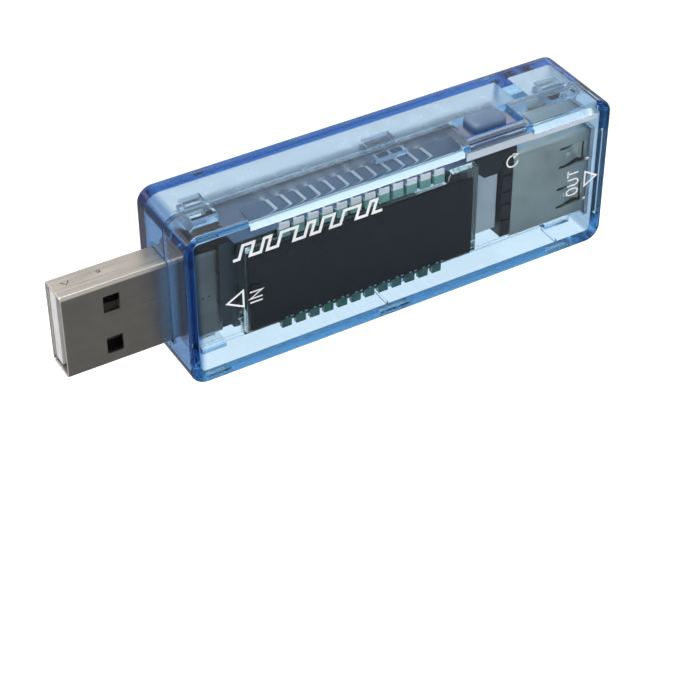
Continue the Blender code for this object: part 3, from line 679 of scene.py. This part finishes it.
def make_back_shell():
    """The plain half, with six latch windows and the board's posts."""
    bm = bmesh.new()
    loft(bm, case_rings(False))
    shell = finish_mesh("case_back", bm, BLUE, body=None)
    steps = opening_steps(PARTING - 2, CASE_BACK)
    windows = bmesh.new()
    for z in ((20.1, 21.35), (0.65, 1.9)):
        for first, last in LATCHES:
            add_box(windows, (first + 0.3, last - 0.3), (0.2, 2.1), z)
    steps.append(("DIFFERENCE", windows))
    posts = bmesh.new()
    add_box(posts, (50.8, 52.8), (0.3, 5.3), (17.5, 20.9))
    for x in (10.5, 57.0):
        for z in (5.6, 13.4):
            add_prism(posts, "y", circle(x, z, 0.9, 24), (3.6, 5.6))
    steps.append(("UNION", posts))
    combine(shell, steps)
    settle(shell)
    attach(shell, "meter")
    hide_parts("back_shell")


def button_pad():
    """The button's domed pad: each ring lies a little further in and a little higher."""
    mid = (44.05, -2.75)
    half = (2.55, 1.85)
    rings = []
    for inset, z in ((0.0, 20.9), (0.0, 22.15), (0.06, 22.4), (0.22, 22.62), (0.5, 22.77),
                     (0.9, 22.85), (1.35, 22.89)):
        ring = rounded_rect((mid[0] - half[0] + inset, mid[0] + half[0] - inset),
                            (mid[1] - half[1] + inset, mid[1] + half[1] - inset),
                            max(1.1 - inset * 0.5, 0.3), 6)
        rings.append([(px, py, z) for px, py in ring])
    bm = bmesh.new()
    loft(bm, rings)
    return bm


def make_button():
    flange = bmesh.new()
    add_box(flange, (39.6, 49.2), (-4.95, -1.0), (19.45, 20.3), 0.08, 2)
    button = finish_mesh("button_cap", flange, BUTTON_BLUE, body=None)
    shoulder = bmesh.new()
    add_box(shoulder, (40.5, 48.3), (-4.45, -1.0), (19.9, 21.2), 0.12, 2)
    combine(button, [("UNION", shoulder), ("UNION", button_pad())])
    settle(button, 40)
    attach(button, "button")
    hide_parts("reset_button")


# ------------------------------------------------------------------ printing on the face
def draw_line(bm, points, width, closed=False):
    """An inked line on the outside of the display face."""
    ribbon(bm, points, width, CASE_FRONT - INK_DEPTH, CASE_FRONT, closed)


def make_printing():
    bm = bmesh.new()
    draw_line(bm, [(5.15, 11.0), (7.35, 12.2), (7.35, 9.8)], 0.24, True)
    draw_line(bm, [(59.6, 10.7), (57.75, 11.8), (57.75, 9.6)], 0.24, True)
    draw_word(bm, "IN", 8.25, 9.75, 1.7)
    draw_word(bm, "OUT", 55.0, 8.75, 1.65)
    draw_reset_mark(bm, 46.0, 17.5)
    draw_pulse_train(bm)
    printing = finish_mesh("face_printing", bm, INK_AND_HIGHLIGHT)


def draw_word(bm, word, x, z, height):
    """Plain capitals that read upwards: each letter's foot is at its right-hand side."""
    shapes = {
        "I": (0.28, [[(0.14, 0), (0.14, 1)]]),
        "N": (1.0, [[(0.1, 0), (0.1, 1), (0.9, 0), (0.9, 1)]]),
        "O": (1.0, [[(0.1, 0.25), (0.1, 0.75), (0.3, 1), (0.7, 1), (0.9, 0.75), (0.9, 0.25),
                     (0.7, 0), (0.3, 0)]]),
        "U": (1.0, [[(0.1, 1), (0.1, 0.25), (0.3, 0), (0.7, 0), (0.9, 0.25), (0.9, 1)]]),
        "T": (0.9, [[(0, 1), (0.9, 1)], [(0.45, 1), (0.45, 0)]]),
    }
    wide = height * 0.72
    for letter in word:
        width, lines = shapes[letter]
        for line in lines:
            points = [(x + height * (1 - v), z + u * wide) for u, v in line]
            draw_line(bm, points, 0.2, closed=(letter == "O"))
        z += (width + 0.24) * wide


def draw_reset_mark(bm, x, z):
    """An open ring with an arrowhead, the usual sign for reset."""
    radius, start, sweep, steps = 0.85, 60, 290, 18
    points = []
    for k in range(steps + 1):
        turn = math.radians(start + sweep * k / steps)
        points.append((x + radius * math.cos(turn), z + radius * math.sin(turn)))
    draw_line(bm, points, 0.2)
    tip_x, tip_z = points[0]
    head = [(tip_x - 0.42, tip_z + 0.42), (tip_x + 0.5, tip_z + 0.1), (tip_x - 0.28, tip_z - 0.48)]
    add_prism(bm, "y", head, (CASE_FRONT - INK_DEPTH, CASE_FRONT))


def draw_pulse_train(bm):
    """A slanted run of pulses along the upper edge of the display: each one's width and its gap."""
    foot, head, slant, lead = 17.0, 18.8, 0.55, 0.8
    pulses = ((1.5, 0.6), (0.9, 0.6), (2.2, 0.7), (0.9, 0.4), (1.5, 0.6), (2.2, 0.7), (0.9, 0.5))
    x = 6.2
    points = [(x, foot)]
    for width, gap in pulses:
        start = x + lead
        points += [(start, foot), (start + slant, head), (start + slant + width, head),
                   (start + width, foot)]
        x = start + width + gap
    points.append((x + lead, foot))
    draw_line(bm, points, 0.40)


# ------------------------------------------------------------------ plug
def tube_rings(y, z, radius, sheet, xs):
    """Rings of a folded sleeve, out along its outside and back along its inside.

    Each row of xs is a place, how far the outside steps in there, and how far the inside flares."""
    rings = []
    for x, out, inn in xs:
        rings.append([(x, py, pz) for py, pz in rounded_rect(
            (y[0] + out, y[1] - out), (z[0] + out, z[1] - out), max(radius - out, 0.06), 5)])
    for x, out, inn in reversed(xs):
        rings.append([(x, py, pz) for py, pz in rounded_rect(
            (y[0] + sheet - inn, y[1] - sheet + inn), (z[0] + sheet - inn, z[1] - sheet + inn),
            max(radius - sheet + inn, 0.06), 5)])
    return rings


def make_plug_shell():
    y = (PLUG_Y - PLUG_HALF[0], PLUG_Y + PLUG_HALF[0])
    z = (AXIS_Z - PLUG_HALF[1], AXIS_Z + PLUG_HALF[1])
    xs = [(PLUG_TIP, 0.08, 0.06), (PLUG_TIP + 0.06, 0.02, 0.01), (PLUG_TIP + 0.14, 0.0, 0.0),
          (2.2, 0.0, 0.0), (2.3, 0.04, 0.0)]
    bm = bmesh.new()
    loft(bm, tube_rings(y, z, 0.55, SHEET, xs), closed=True)
    shell = finish_mesh("plug_sleeve", bm, PLUG_STEEL, body=None)
    windows = bmesh.new()
    for side in (-3.1, 3.1):
        outline = rounded_rect((PLUG_TIP + 5.3, PLUG_TIP + 7.45),
                               (AXIS_Z + side - 1.2, AXIS_Z + side + 1.2), 0.12, 3)
        add_prism(windows, "y", outline, (y[0] - 1, y[0] + 1))
        add_prism(windows, "y", outline, (y[1] - 0.35, y[1] + 1))
    hole = bmesh.new()
    add_prism(hole, "z", circle(PLUG_TIP + 6.2, PLUG_Y + 0.6, 0.3, 20), (z[1] - 1, z[1] + 1))
    seam = bmesh.new()
    add_box(seam, (PLUG_TIP - 1, 1.2), (y[1] - 0.2, y[1] + 1), (AXIS_Z - 0.03, AXIS_Z + 0.03))
    stamp = bmesh.new()
    ribbon_top(stamp, [(-12.5, 1.55), (-12.0, 0.85), (-11.5, 1.55)], 0.2, (z[1] - 0.2, z[1] + 0.04))
    combine(shell, [("DIFFERENCE", cutter) for cutter in (windows, hole, seam, stamp)])
    settle(shell)
    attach(shell, "meter")
    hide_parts("plug_shell")
    make_collar((y[0] - COLLAR_STEP, y[1] + COLLAR_STEP), (z[0] - COLLAR_STEP, z[1] + COLLAR_STEP))


def make_collar(y, z):
    """The wide screening plate behind the case's wall, with four round pits in its display side."""
    bm = bmesh.new()
    xs = [(2.32, 0.1, 0.0), (2.42, 0.0, 0.0), (PLUG_REAR - 0.1, 0.0, 0.0), (PLUG_REAR, 0.08, 0.0)]
    loft(bm, tube_rings(y, z, 0.7, COLLAR_STEP + SHEET, xs), closed=True)
    collar = finish_mesh("plug_collar", bm, COLLAR_STEEL, body=None)
    pits = bmesh.new()
    for pit_z in (13.0, 8.4):
        add_prism(pits, "y", circle(PLUG_REAR - 0.35, pit_z, 0.34, 20), (y[0] - 0.5, y[0] + 0.25))
    for pit_x in (3.9, 4.75):
        add_prism(pits, "y", circle(pit_x, 9.6, 0.16, 12), (y[0] - 0.5, y[0] + 0.2))
    combine(collar, [("DIFFERENCE", pits)])
    settle(collar)
    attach(collar, "meter")


def ribbon_top(bm, points, width, span):
    """A mitred line on an X-Y plane."""
    side = bmesh.new()
    ribbon(side, points, width, span[0], span[1])
    made = {}
    for vert in side.verts:
        made[vert] = bm.verts.new((vert.co.x, vert.co.z, vert.co.y))
    for face in side.faces:
        bm.faces.new([made[vert] for vert in face.verts])
    side.free()
    bmesh.ops.recalc_face_normals(bm, faces=bm.faces)


def make_plug_inside():
    """The white tongue and its block, grooved for the contacts, and a black sheet on the tongue under
    them: painted shade for the inside of the plug's cavity.
    """
    tongue = PLUG_Y + PLUG_HALF[0] - SHEET - 0.05 - TONGUE
    wide = (AXIS_Z - TONGUE_HALF, AXIS_Z + TONGUE_HALF)
    bm = bmesh.new()
    add_box(bm, (PLUG_TIP + 0.3, -2.0), (tongue, tongue + TONGUE), wide, 0.12, 2)
    block = finish_mesh("plug_tongue", bm, WHITE, body=None)
    base = bmesh.new()
    add_box(base, (-2.4, PLUG_REAR - 0.2), (-1.1, tongue + TONGUE), wide, 0.1, 2)
    grooves = bmesh.new()
    for offset in CONTACT_Z:
        add_box(grooves, (-2.6, PLUG_REAR + 1), (tongue - 0.6, tongue + 0.3),
                (AXIS_Z + offset - CONTACT_HALF, AXIS_Z + offset + CONTACT_HALF))
        add_box(grooves, (PLUG_TIP + 1.0, -2.0), (tongue - 0.5, tongue + 0.12),
                (AXIS_Z + offset - 0.6, AXIS_Z + offset + 0.6))
    combine(block, [("UNION", base), ("DIFFERENCE", grooves)])
    settle(block)
    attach(block, "meter")
    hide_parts("plug_insulator")
    # Painted shade: a thin black sheet where the plug's cavity lies in shade.
    bm = bmesh.new()
    add_box(bm, (PLUG_TIP + 2.2, -2.5), (tongue - 0.1, tongue - 0.02), (AXIS_Z - 5.5, AXIS_Z + 5.5))
    shade_bed = finish_mesh("contact_shade_bed", bm, BLACK)


# ------------------------------------------------------------------ socket
def finger_outline(face, inward):
    """Side view of one sprung finger, as (x, y) pairs, bent into the socket."""
    line = ((55.1, 0.0), (56.2, 0.03), (57.2, 0.28), (58.1, 0.62), (58.6, 0.70), (59.1, 0.42))
    outer = [(x, face + inward * dip) for x, dip in line]
    inner = [(x, face + inward * (dip + SHEET)) for x, dip in reversed(line)]
    return outer + inner


def make_socket_shell():
    y = (SOCKET_Y - SOCKET_HALF[0], SOCKET_Y + SOCKET_HALF[0])
    z = (AXIS_Z - SOCKET_HALF[1], AXIS_Z + SOCKET_HALF[1])
    xs = [(SOCKET_X[0], 0.05, 0.05), (SOCKET_X[0] + 0.1, 0.0, 0.0), (SOCKET_X[1] - 1.0, 0.0, 0.0),
          (SOCKET_X[1] - 0.3, -0.08, 0.08), (SOCKET_X[1], -0.2, 0.26)]
    bm = bmesh.new()
    loft(bm, tube_rings(y, z, 0.6, SHEET, xs), closed=True)
    shell = finish_mesh("socket_sleeve", bm, SOCKET_STEEL, body=None)
    slots = bmesh.new()
    for wall in ((y[0] - 1, y[0] + 0.5), (y[1] - 0.5, y[1] + 1)):
        for low, high in FINGERS:
            add_box(slots, (55.3, 59.3), wall, (low, high))
            add_box(slots, (59.0, 60.5), wall, (low, low + 0.34))
    fingers = bmesh.new()
    for face, inward in ((y[0], 1), (y[1], -1)):
        for low, high in FINGERS:
            add_prism(fingers, "z", finger_outline(face, inward), (low + 0.36, high - 0.36))
    legs = bmesh.new()
    for leg in ((z[0], z[0] + SHEET), (z[1] - SHEET, z[1])):
        add_box(legs, (52.0, 53.4), (y[1] - 0.8, BOARD_BACK + 0.7), leg, 0.06, 1)
    combine(shell, [("DIFFERENCE", slots), ("UNION", fingers), ("UNION", legs)])
    settle(shell)
    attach(shell, "meter")
    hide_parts("socket_shell")


def make_socket_dimples():
    """A round dimple on each sprung finger of the display side."""
    face = SOCKET_Y - SOCKET_HALF[0]
    bm = bmesh.new()
    for mid in (6.9, 13.2):
        rings = []
        for k in range(5):
            turn = math.radians(90 * k / 4)
            radius = 0.5 * math.cos(turn) + 0.02
            rings.append([(56.9 + px, face + 0.18 - 0.3 * math.sin(turn), mid + pz)
                          for px, pz in circle(0, 0, radius, 20)])
        loft(bm, rings)
    dimples = finish_mesh("socket_dimples", bm, SOCKET_STEEL)


def make_socket_inside():
    """The black core and its tongue, grooved for the contacts."""
    front = SOCKET_Y - SOCKET_HALF[0] + SHEET + 0.05
    back = SOCKET_Y + SOCKET_HALF[0] - SHEET - 0.05
    half = 6.2
    tongue = SOCKET_Y - PLUG_HALF[0] + SHEET + 0.05
    bm = bmesh.new()
    add_box(bm, (46.7, 51.4), (front, back), (AXIS_Z - half, AXIS_Z + half), 0.15, 2)
    block = finish_mesh("socket_core", bm, BLACK, body=None)
    blade = bmesh.new()
    add_box(blade, (51.0, SOCKET_X[1] - 0.6), (tongue, tongue + TONGUE),
            (AXIS_Z - TONGUE_HALF, AXIS_Z + TONGUE_HALF), 0.2, 3)
    grooves = bmesh.new()
    for offset in CONTACT_Z:
        z = (AXIS_Z + offset - CONTACT_HALF, AXIS_Z + offset + CONTACT_HALF)
        add_box(grooves, (46.2, 51.8), (tongue + TONGUE - 0.2, tongue + TONGUE + 0.6), z)
        add_box(grooves, (46.2, 47.4), (tongue + TONGUE - 0.2, back + 1), z)
        add_box(grooves, (46.2, 49.0), (front - 1, front + 0.25), (z[0] + 0.55, z[1] - 0.55))
    combine(block, [("UNION", blade), ("DIFFERENCE", grooves)])
    settle(block)
    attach(block, "meter")
    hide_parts("socket_insulator")


# ------------------------------------------------------------------ display
def make_display():
    """Two glasses between two films, and the light guide behind them."""
    bm = bmesh.new()
    outline = [(GLASS_X[0], GLASS_Z[0]), (GLASS_X[1], GLASS_Z[0]), (GLASS_X[1], GLASS_EAR),
               (37.7, GLASS_EAR), (36.9, GLASS_Z[1]), (GLASS_X[0], GLASS_Z[1])]
    add_prism(bm, "y", outline, FRONT_GLASS_Y, 0.06, 1)
    piece = finish_mesh("glass_front", bm, GLASS, weighted=True)
    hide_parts("lcd_front_glass")
    bm = bmesh.new()
    add_box(bm, GLASS_X, REAR_GLASS_Y, LEDGE_Z, 0.06, 1)
    piece = finish_mesh("glass_rear", bm, GLASS, weighted=True)
    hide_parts("lcd_rear_glass")
    for name, node_name, y in (("film_front", "lcd_front_polarizer", (-5.15, -4.95)),
                               ("film_rear", "lcd_rear_polarizer", (-2.7, -2.5))):
        bm = bmesh.new()
        add_prism(bm, "y", rounded_rect(FILM_X, FILM_Z, 0.25, 3), y)
        piece = finish_mesh(name, bm, FILM)
        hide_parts(node_name)
    bm = bmesh.new()
    add_prism(bm, "y", rounded_rect((7.4, 41.7), (3.9, 17.4), 0.7, 4), (-2.4, -0.4), 0.12, 2)
    piece = finish_mesh("light_plate", bm, CLEAR, weighted=True)
    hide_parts("light_guide")


def make_pins():
    """Each row: legs back to the board, clips on the glass ledge, and a bead of resin over it,
    coloured a teal shadow tone as painted shade.
    """
    for name, upper, side, row, ledge in (("upper", True, 1, PIN_ROWS[1], LEDGE_Z[1]),
                                          ("lower", False, -1, PIN_ROWS[0], LEDGE_Z[0])):
        bm = bmesh.new()
        for x in PIN_X:
            add_box(bm, (x - 0.2, x + 0.2), (-4.3, 3.95), (row - 0.12, row + 0.12))
        piece = finish_mesh("pins_" + name, bm, TIN)
        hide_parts("lcd_pins_" + name)
        bm = bmesh.new()
        for x in PIN_X:
            z = (16.75, 17.98) if upper else (3.0, 4.57)
            half = 0.77 if upper else 0.7
            add_box(bm, (x - half, x + half), (-4.56, -3.86), z, 0.06, 1)
        piece = finish_mesh("pin_clips_" + name, bm, TEAL_PALE if upper else TEAL)
        bm = bmesh.new()
        z = sorted((ledge - side * 1.18, ledge - side * 0.05))
        outline = rounded_rect((PIN_X[0] - 0.95, PIN_X[-1] + 0.95), z, 0.3, 3)
        add_prism(bm, "y", outline, (-3.99, -3.85))
        # The bead's teal shadow tone is painted shade.
        piece = finish_mesh("pin_bead_" + name, bm, TEAL_SHADE)


def make_display_trim():
    """Painted shade, painted highlights and pin marks: dark strips on the glass's plug end and beside
    the lower pins, pale patches beside the lower pins on the glass ledge as painted highlights, and
    pale teal marks on the film above the lower pins.
    """
    bm = bmesh.new()
    # Painted shade: dark teal strips on the glass's plug end and along the lower pins.
    add_box(bm, (8.28, 8.37), (-4.9, -2.6), (8.0, 17.6), 0.02, 1)
    add_box(bm, (PIN_X[0] - 0.9, PIN_X[-1] + 0.9), (-4.54, -4.46), (4.2, 4.66), 0.02, 1)
    edge_shade = finish_mesh("glass_edge_shade", bm, TEAL_SHADE)
    bm = bmesh.new()
    # Painted highlights: pale patches on the lower glass ledge's edge.
    for span in ((8.6, 13.0), (37.2, 41.3)):
        add_box(bm, span, (-3.95, -3.87), (3.75, 4.25), 0.03, 1)
    pale = finish_mesh("glass_edge_highlight", bm, INK_AND_HIGHLIGHT)
    bm = bmesh.new()
    for x in PIN_X:
        for shift in (-0.36, 0.36):
            add_box(bm, (x + shift - 0.17, x + shift + 0.17), (-5.19, -5.16), (4.98, 5.14))
    marks = finish_mesh("pin_marks", bm, TEAL_PALE)


def make_pin_heads():
    """Pale resin heads over the upper clips; their resin glows a little, as painted light."""
    bm = bmesh.new()
    for x in PIN_X:
        add_box(bm, (x - 0.72, x + 0.72), (-4.56, -4.3), (18.02, 18.85), 0.08, 2)
    heads = finish_mesh("pin_heads", bm, PALE_GLOW)


def make_highlight_strip():
    """A pale sheet inside the front wall, under the button's recess and over the socket, which glows:
    a painted highlight for the bright band under the case's front top edge.
    """
    bm = bmesh.new()
    add_box(bm, (39.5, 49.3), (-5.26, -5.12), (19.2, 20.28), 0.03, 1)
    add_box(bm, (49.34, 59.5), (-5.26, -5.12), (19.1, 19.8), 0.03, 1)
    # Painted highlight: a glowing pale sheet.
    strip = finish_mesh("highlight_strip", bm, PALE_GLOW)


def make_tape():
    """Slate tape over the display back to the board, and dark tape beside its plug end."""
    bm = bmesh.new()
    add_box(bm, (GLASS_X[0] - 1.0, GLASS_X[1] - 0.1), (-4.0, 2.22), (17.87, 17.93), 0.02, 1)
    tape = finish_mesh("display_tape", bm, TAPE)
    bm = bmesh.new()
    add_box(bm, (6.05, 8.3), (-2.55, -2.43), (4.7, 17.2), 0.04, 2)
    end = finish_mesh("end_tape", bm, DARK_TAPE)


def make_foam():
    """A black foam pad over the plug's screening plate."""
    bm = bmesh.new()
    add_box(bm, (2.4, 8.2), (-1.85, 2.1), (16.26, 16.95), 0.2, 3)
    pad = finish_mesh("plug_foam", bm, FOAM)


def make_solder():
    """Solder cones on the board's back, where pins and legs come through."""
    spots = [(x, row, 0.5, 0.42) for row in PIN_ROWS for x in PIN_X]
    spots += [(46.9, AXIS_Z + offset, 0.62, 0.5) for offset in CONTACT_Z]
    spots += [(52.7, AXIS_Z - 6.4, 0.8, 0.5), (52.7, AXIS_Z + 6.4, 0.8, 0.5)]
    bm = bmesh.new()
    for x, z, radius, height in spots:
        rings = []
        for grow, lift in ((1.0, 0.0), (0.96, 0.08), (0.66, 0.45), (0.42, 0.85), (0.22, 1.0)):
            rings.append([(px, BOARD_BACK + 0.02 + height * lift, pz)
                          for px, pz in circle(x, z, radius * grow, 16)])
        loft(bm, rings)
    solder = finish_mesh("solder_joints", bm, SOLDER, angle=60)


def make_hood():
    """The grey lamp end of the backlight, with a pocket for the light guide."""
    bm = bmesh.new()
    add_box(bm, (41.75, 46.4), (-2.4, -0.3), (4.9, 14.7), 0.15, 3)
    hood = finish_mesh("lamp_hood", bm, GREY, body=None)
    pocket = bmesh.new()
    add_box(pocket, (41.0, 43.2), (-2.1, -0.7), (5.6, 14.0))
    combine(hood, [("DIFFERENCE", pocket)])
    settle(hood)
    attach(hood, "meter")
    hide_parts("backlight_housing")


# ------------------------------------------------------------------ carried-over CAD nodes
def dress_nodes():
    """Materials for the CAD nodes that are shown as they are."""
    looks = {
        "reset_switch_plunger": BLACK,
        "reset_switch_body": BLACK,
        "reset_switch_leg_1": TIN,
        "reset_switch_leg_2": TIN,
        "circuit_board": BOARD_MAT,
        "microcontroller": CHIP,
        "memory_chip": CHIP,
        "voltage_regulator": CHIP,
        "current_shunt": CHIP,
        "clock_crystal": SOLDER,
        "backlight_reflector": WHITE,
        "backlight_led_1": LAMP,
        "backlight_led_2": LAMP,
    }
    for k in range(1, 5):
        looks["plug_contact_%d" % k] = TIN
        looks["socket_contact_%d" % k] = GOLD
        looks["filter_capacitor_%d" % k] = TAN
        looks["divider_resistor_%d" % k] = CHIP
    for name, mat in looks.items():
        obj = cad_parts[name]
        if not obj.material_slots:
            obj.data.materials.append(mat)
        for slot in obj.material_slots:
            slot.material = mat


# ------------------------------------------------------------------ stage
def make_floor():
    bm = bmesh.new()
    corners = ((-1, -1), (1, -1), (1, 1), (-1, 1))
    bm.faces.new([bm.verts.new((a * FLOOR_HALF, b * FLOOR_HALF, FLOOR_Z)) for a, b in corners])
    floor = finish_mesh("floor", bm, floor_material(), body=None)
    floor.visible_glossy = False


def floor_material():
    """White paper that glows, brightest in front. Where it is seen at the first mirror bounce,
    its front part is all but dark, which keeps the see-through walls from washing out."""
    mat, tree, shader = new_material("floor_white")
    shader.inputs["Base Color"].default_value = (0.30, 0.30, 0.30, 1.0)
    shader.inputs["Roughness"].default_value = 0.9
    shader.inputs["Specular IOR Level"].default_value = 0.0
    shader.inputs["Emission Color"].default_value = (1.0, 1.0, 1.0, 1.0)
    depth = axes(tree, geometry(tree, "Position"))["Y"]
    in_front = maths(tree, "LESS_THAN", depth, FLOOR_FRONT_Y * MM)
    once = maths(tree, "COMPARE", tree.nodes.new("ShaderNodeLightPath").outputs["Glossy Depth"], 1.0)
    once.node.inputs[2].default_value = 0.5
    dim = maths(tree, "MULTIPLY", maths(tree, "MULTIPLY", in_front, once), -1.16)
    glow = spread(tree, depth, 1.22, 0.80, 10.0 * MM, 20.0 * MM)
    tree.links.new(maths(tree, "ADD", dim, glow), shader.inputs["Emission Strength"])
    return mat


def make_world():
    """A pale sky, dimmed low in front on the socket's side, with a warm strip low behind."""
    world = bpy.data.worlds.new("studio")
    bpy.context.scene.world = world
    world.use_nodes = True
    tree = world.node_tree
    towards = tree.nodes.new("ShaderNodeTexCoord").outputs["Generated"]
    height = axes(tree, towards)["Z"]
    sky = ramp(tree, spread(tree, height, 0.0, 1.0, -1.0, 1.0), SKY)
    shade = ramp(tree, facing(tree, towards, SHADE_TOWARDS), SHADE)
    low = maths(tree, "MULTIPLY", spread(tree, height, 0.0, 1.0, 0.22, 0.28),
                spread(tree, height, 1.0, 0.0, 0.47, 0.53))
    behind = spread(tree, axes(tree, towards)["Y"], 0.0, 1.0, 0.45, 0.60)
    strip = ramp(tree, maths(tree, "MULTIPLY", low, behind), ((0.0, NO_TINT), (1.0, WARM_STRIP)))
    back = tree.nodes["Background"]
    tree.links.new(product(tree, product(tree, sky, shade), strip), back.inputs["Color"])
    back.inputs["Strength"].default_value = WORLD_STRENGTH


def make_softbox():
    data = bpy.data.lights.new("softbox", "AREA")
    data.shape = "RECTANGLE"
    data.size, data.size_y = SOFTBOX_SIZE
    data.energy = SOFTBOX_WATTS
    lamp = bpy.data.objects.new("softbox", data)
    bpy.context.scene.collection.objects.link(lamp)
    lamp.location = SOFTBOX_PLACE
    aim(lamp, Vector((0.0, 0.0, 0.01)))


def aim(obj, target):
    """Turns a camera or a lamp towards a point."""
    direction = target - obj.location
    obj.rotation_euler = direction.to_track_quat("-Z", "Y").to_euler()


def make_camera():
    data = bpy.data.cameras.new("camera")
    data.sensor_width = 36.0
    data.lens = CAMERA_LENS
    data.clip_start = 0.01
    data.clip_end = 20.0
    camera = bpy.data.objects.new("camera", data)
    bpy.context.scene.collection.objects.link(camera)
    camera.location = at(*CAMERA_PLACE)
    aim(camera, at(*CAMERA_TARGET))
    bpy.context.scene.camera = camera


def make_render_settings():
    bpy.context.scene.view_settings.view_transform = "Standard"
    bpy.context.scene.view_settings.look = "None"
    cycles = bpy.context.scene.cycles
    cycles.max_bounces = 32
    cycles.glossy_bounces = 24
    cycles.transmission_bounces = 32
    cycles.transparent_max_bounces = 32


make_camera()
make_render_settings()
make_floor()
make_world()
make_softbox()
make_front_shell()
make_back_shell()
make_button()
make_printing()
make_plug_shell()
make_plug_inside()
make_socket_shell()
make_socket_dimples()
make_socket_inside()
make_display()
make_pins()
make_display_trim()
make_pin_heads()
make_highlight_strip()
make_tape()
make_foam()
make_solder()
make_hood()
dress_nodes()
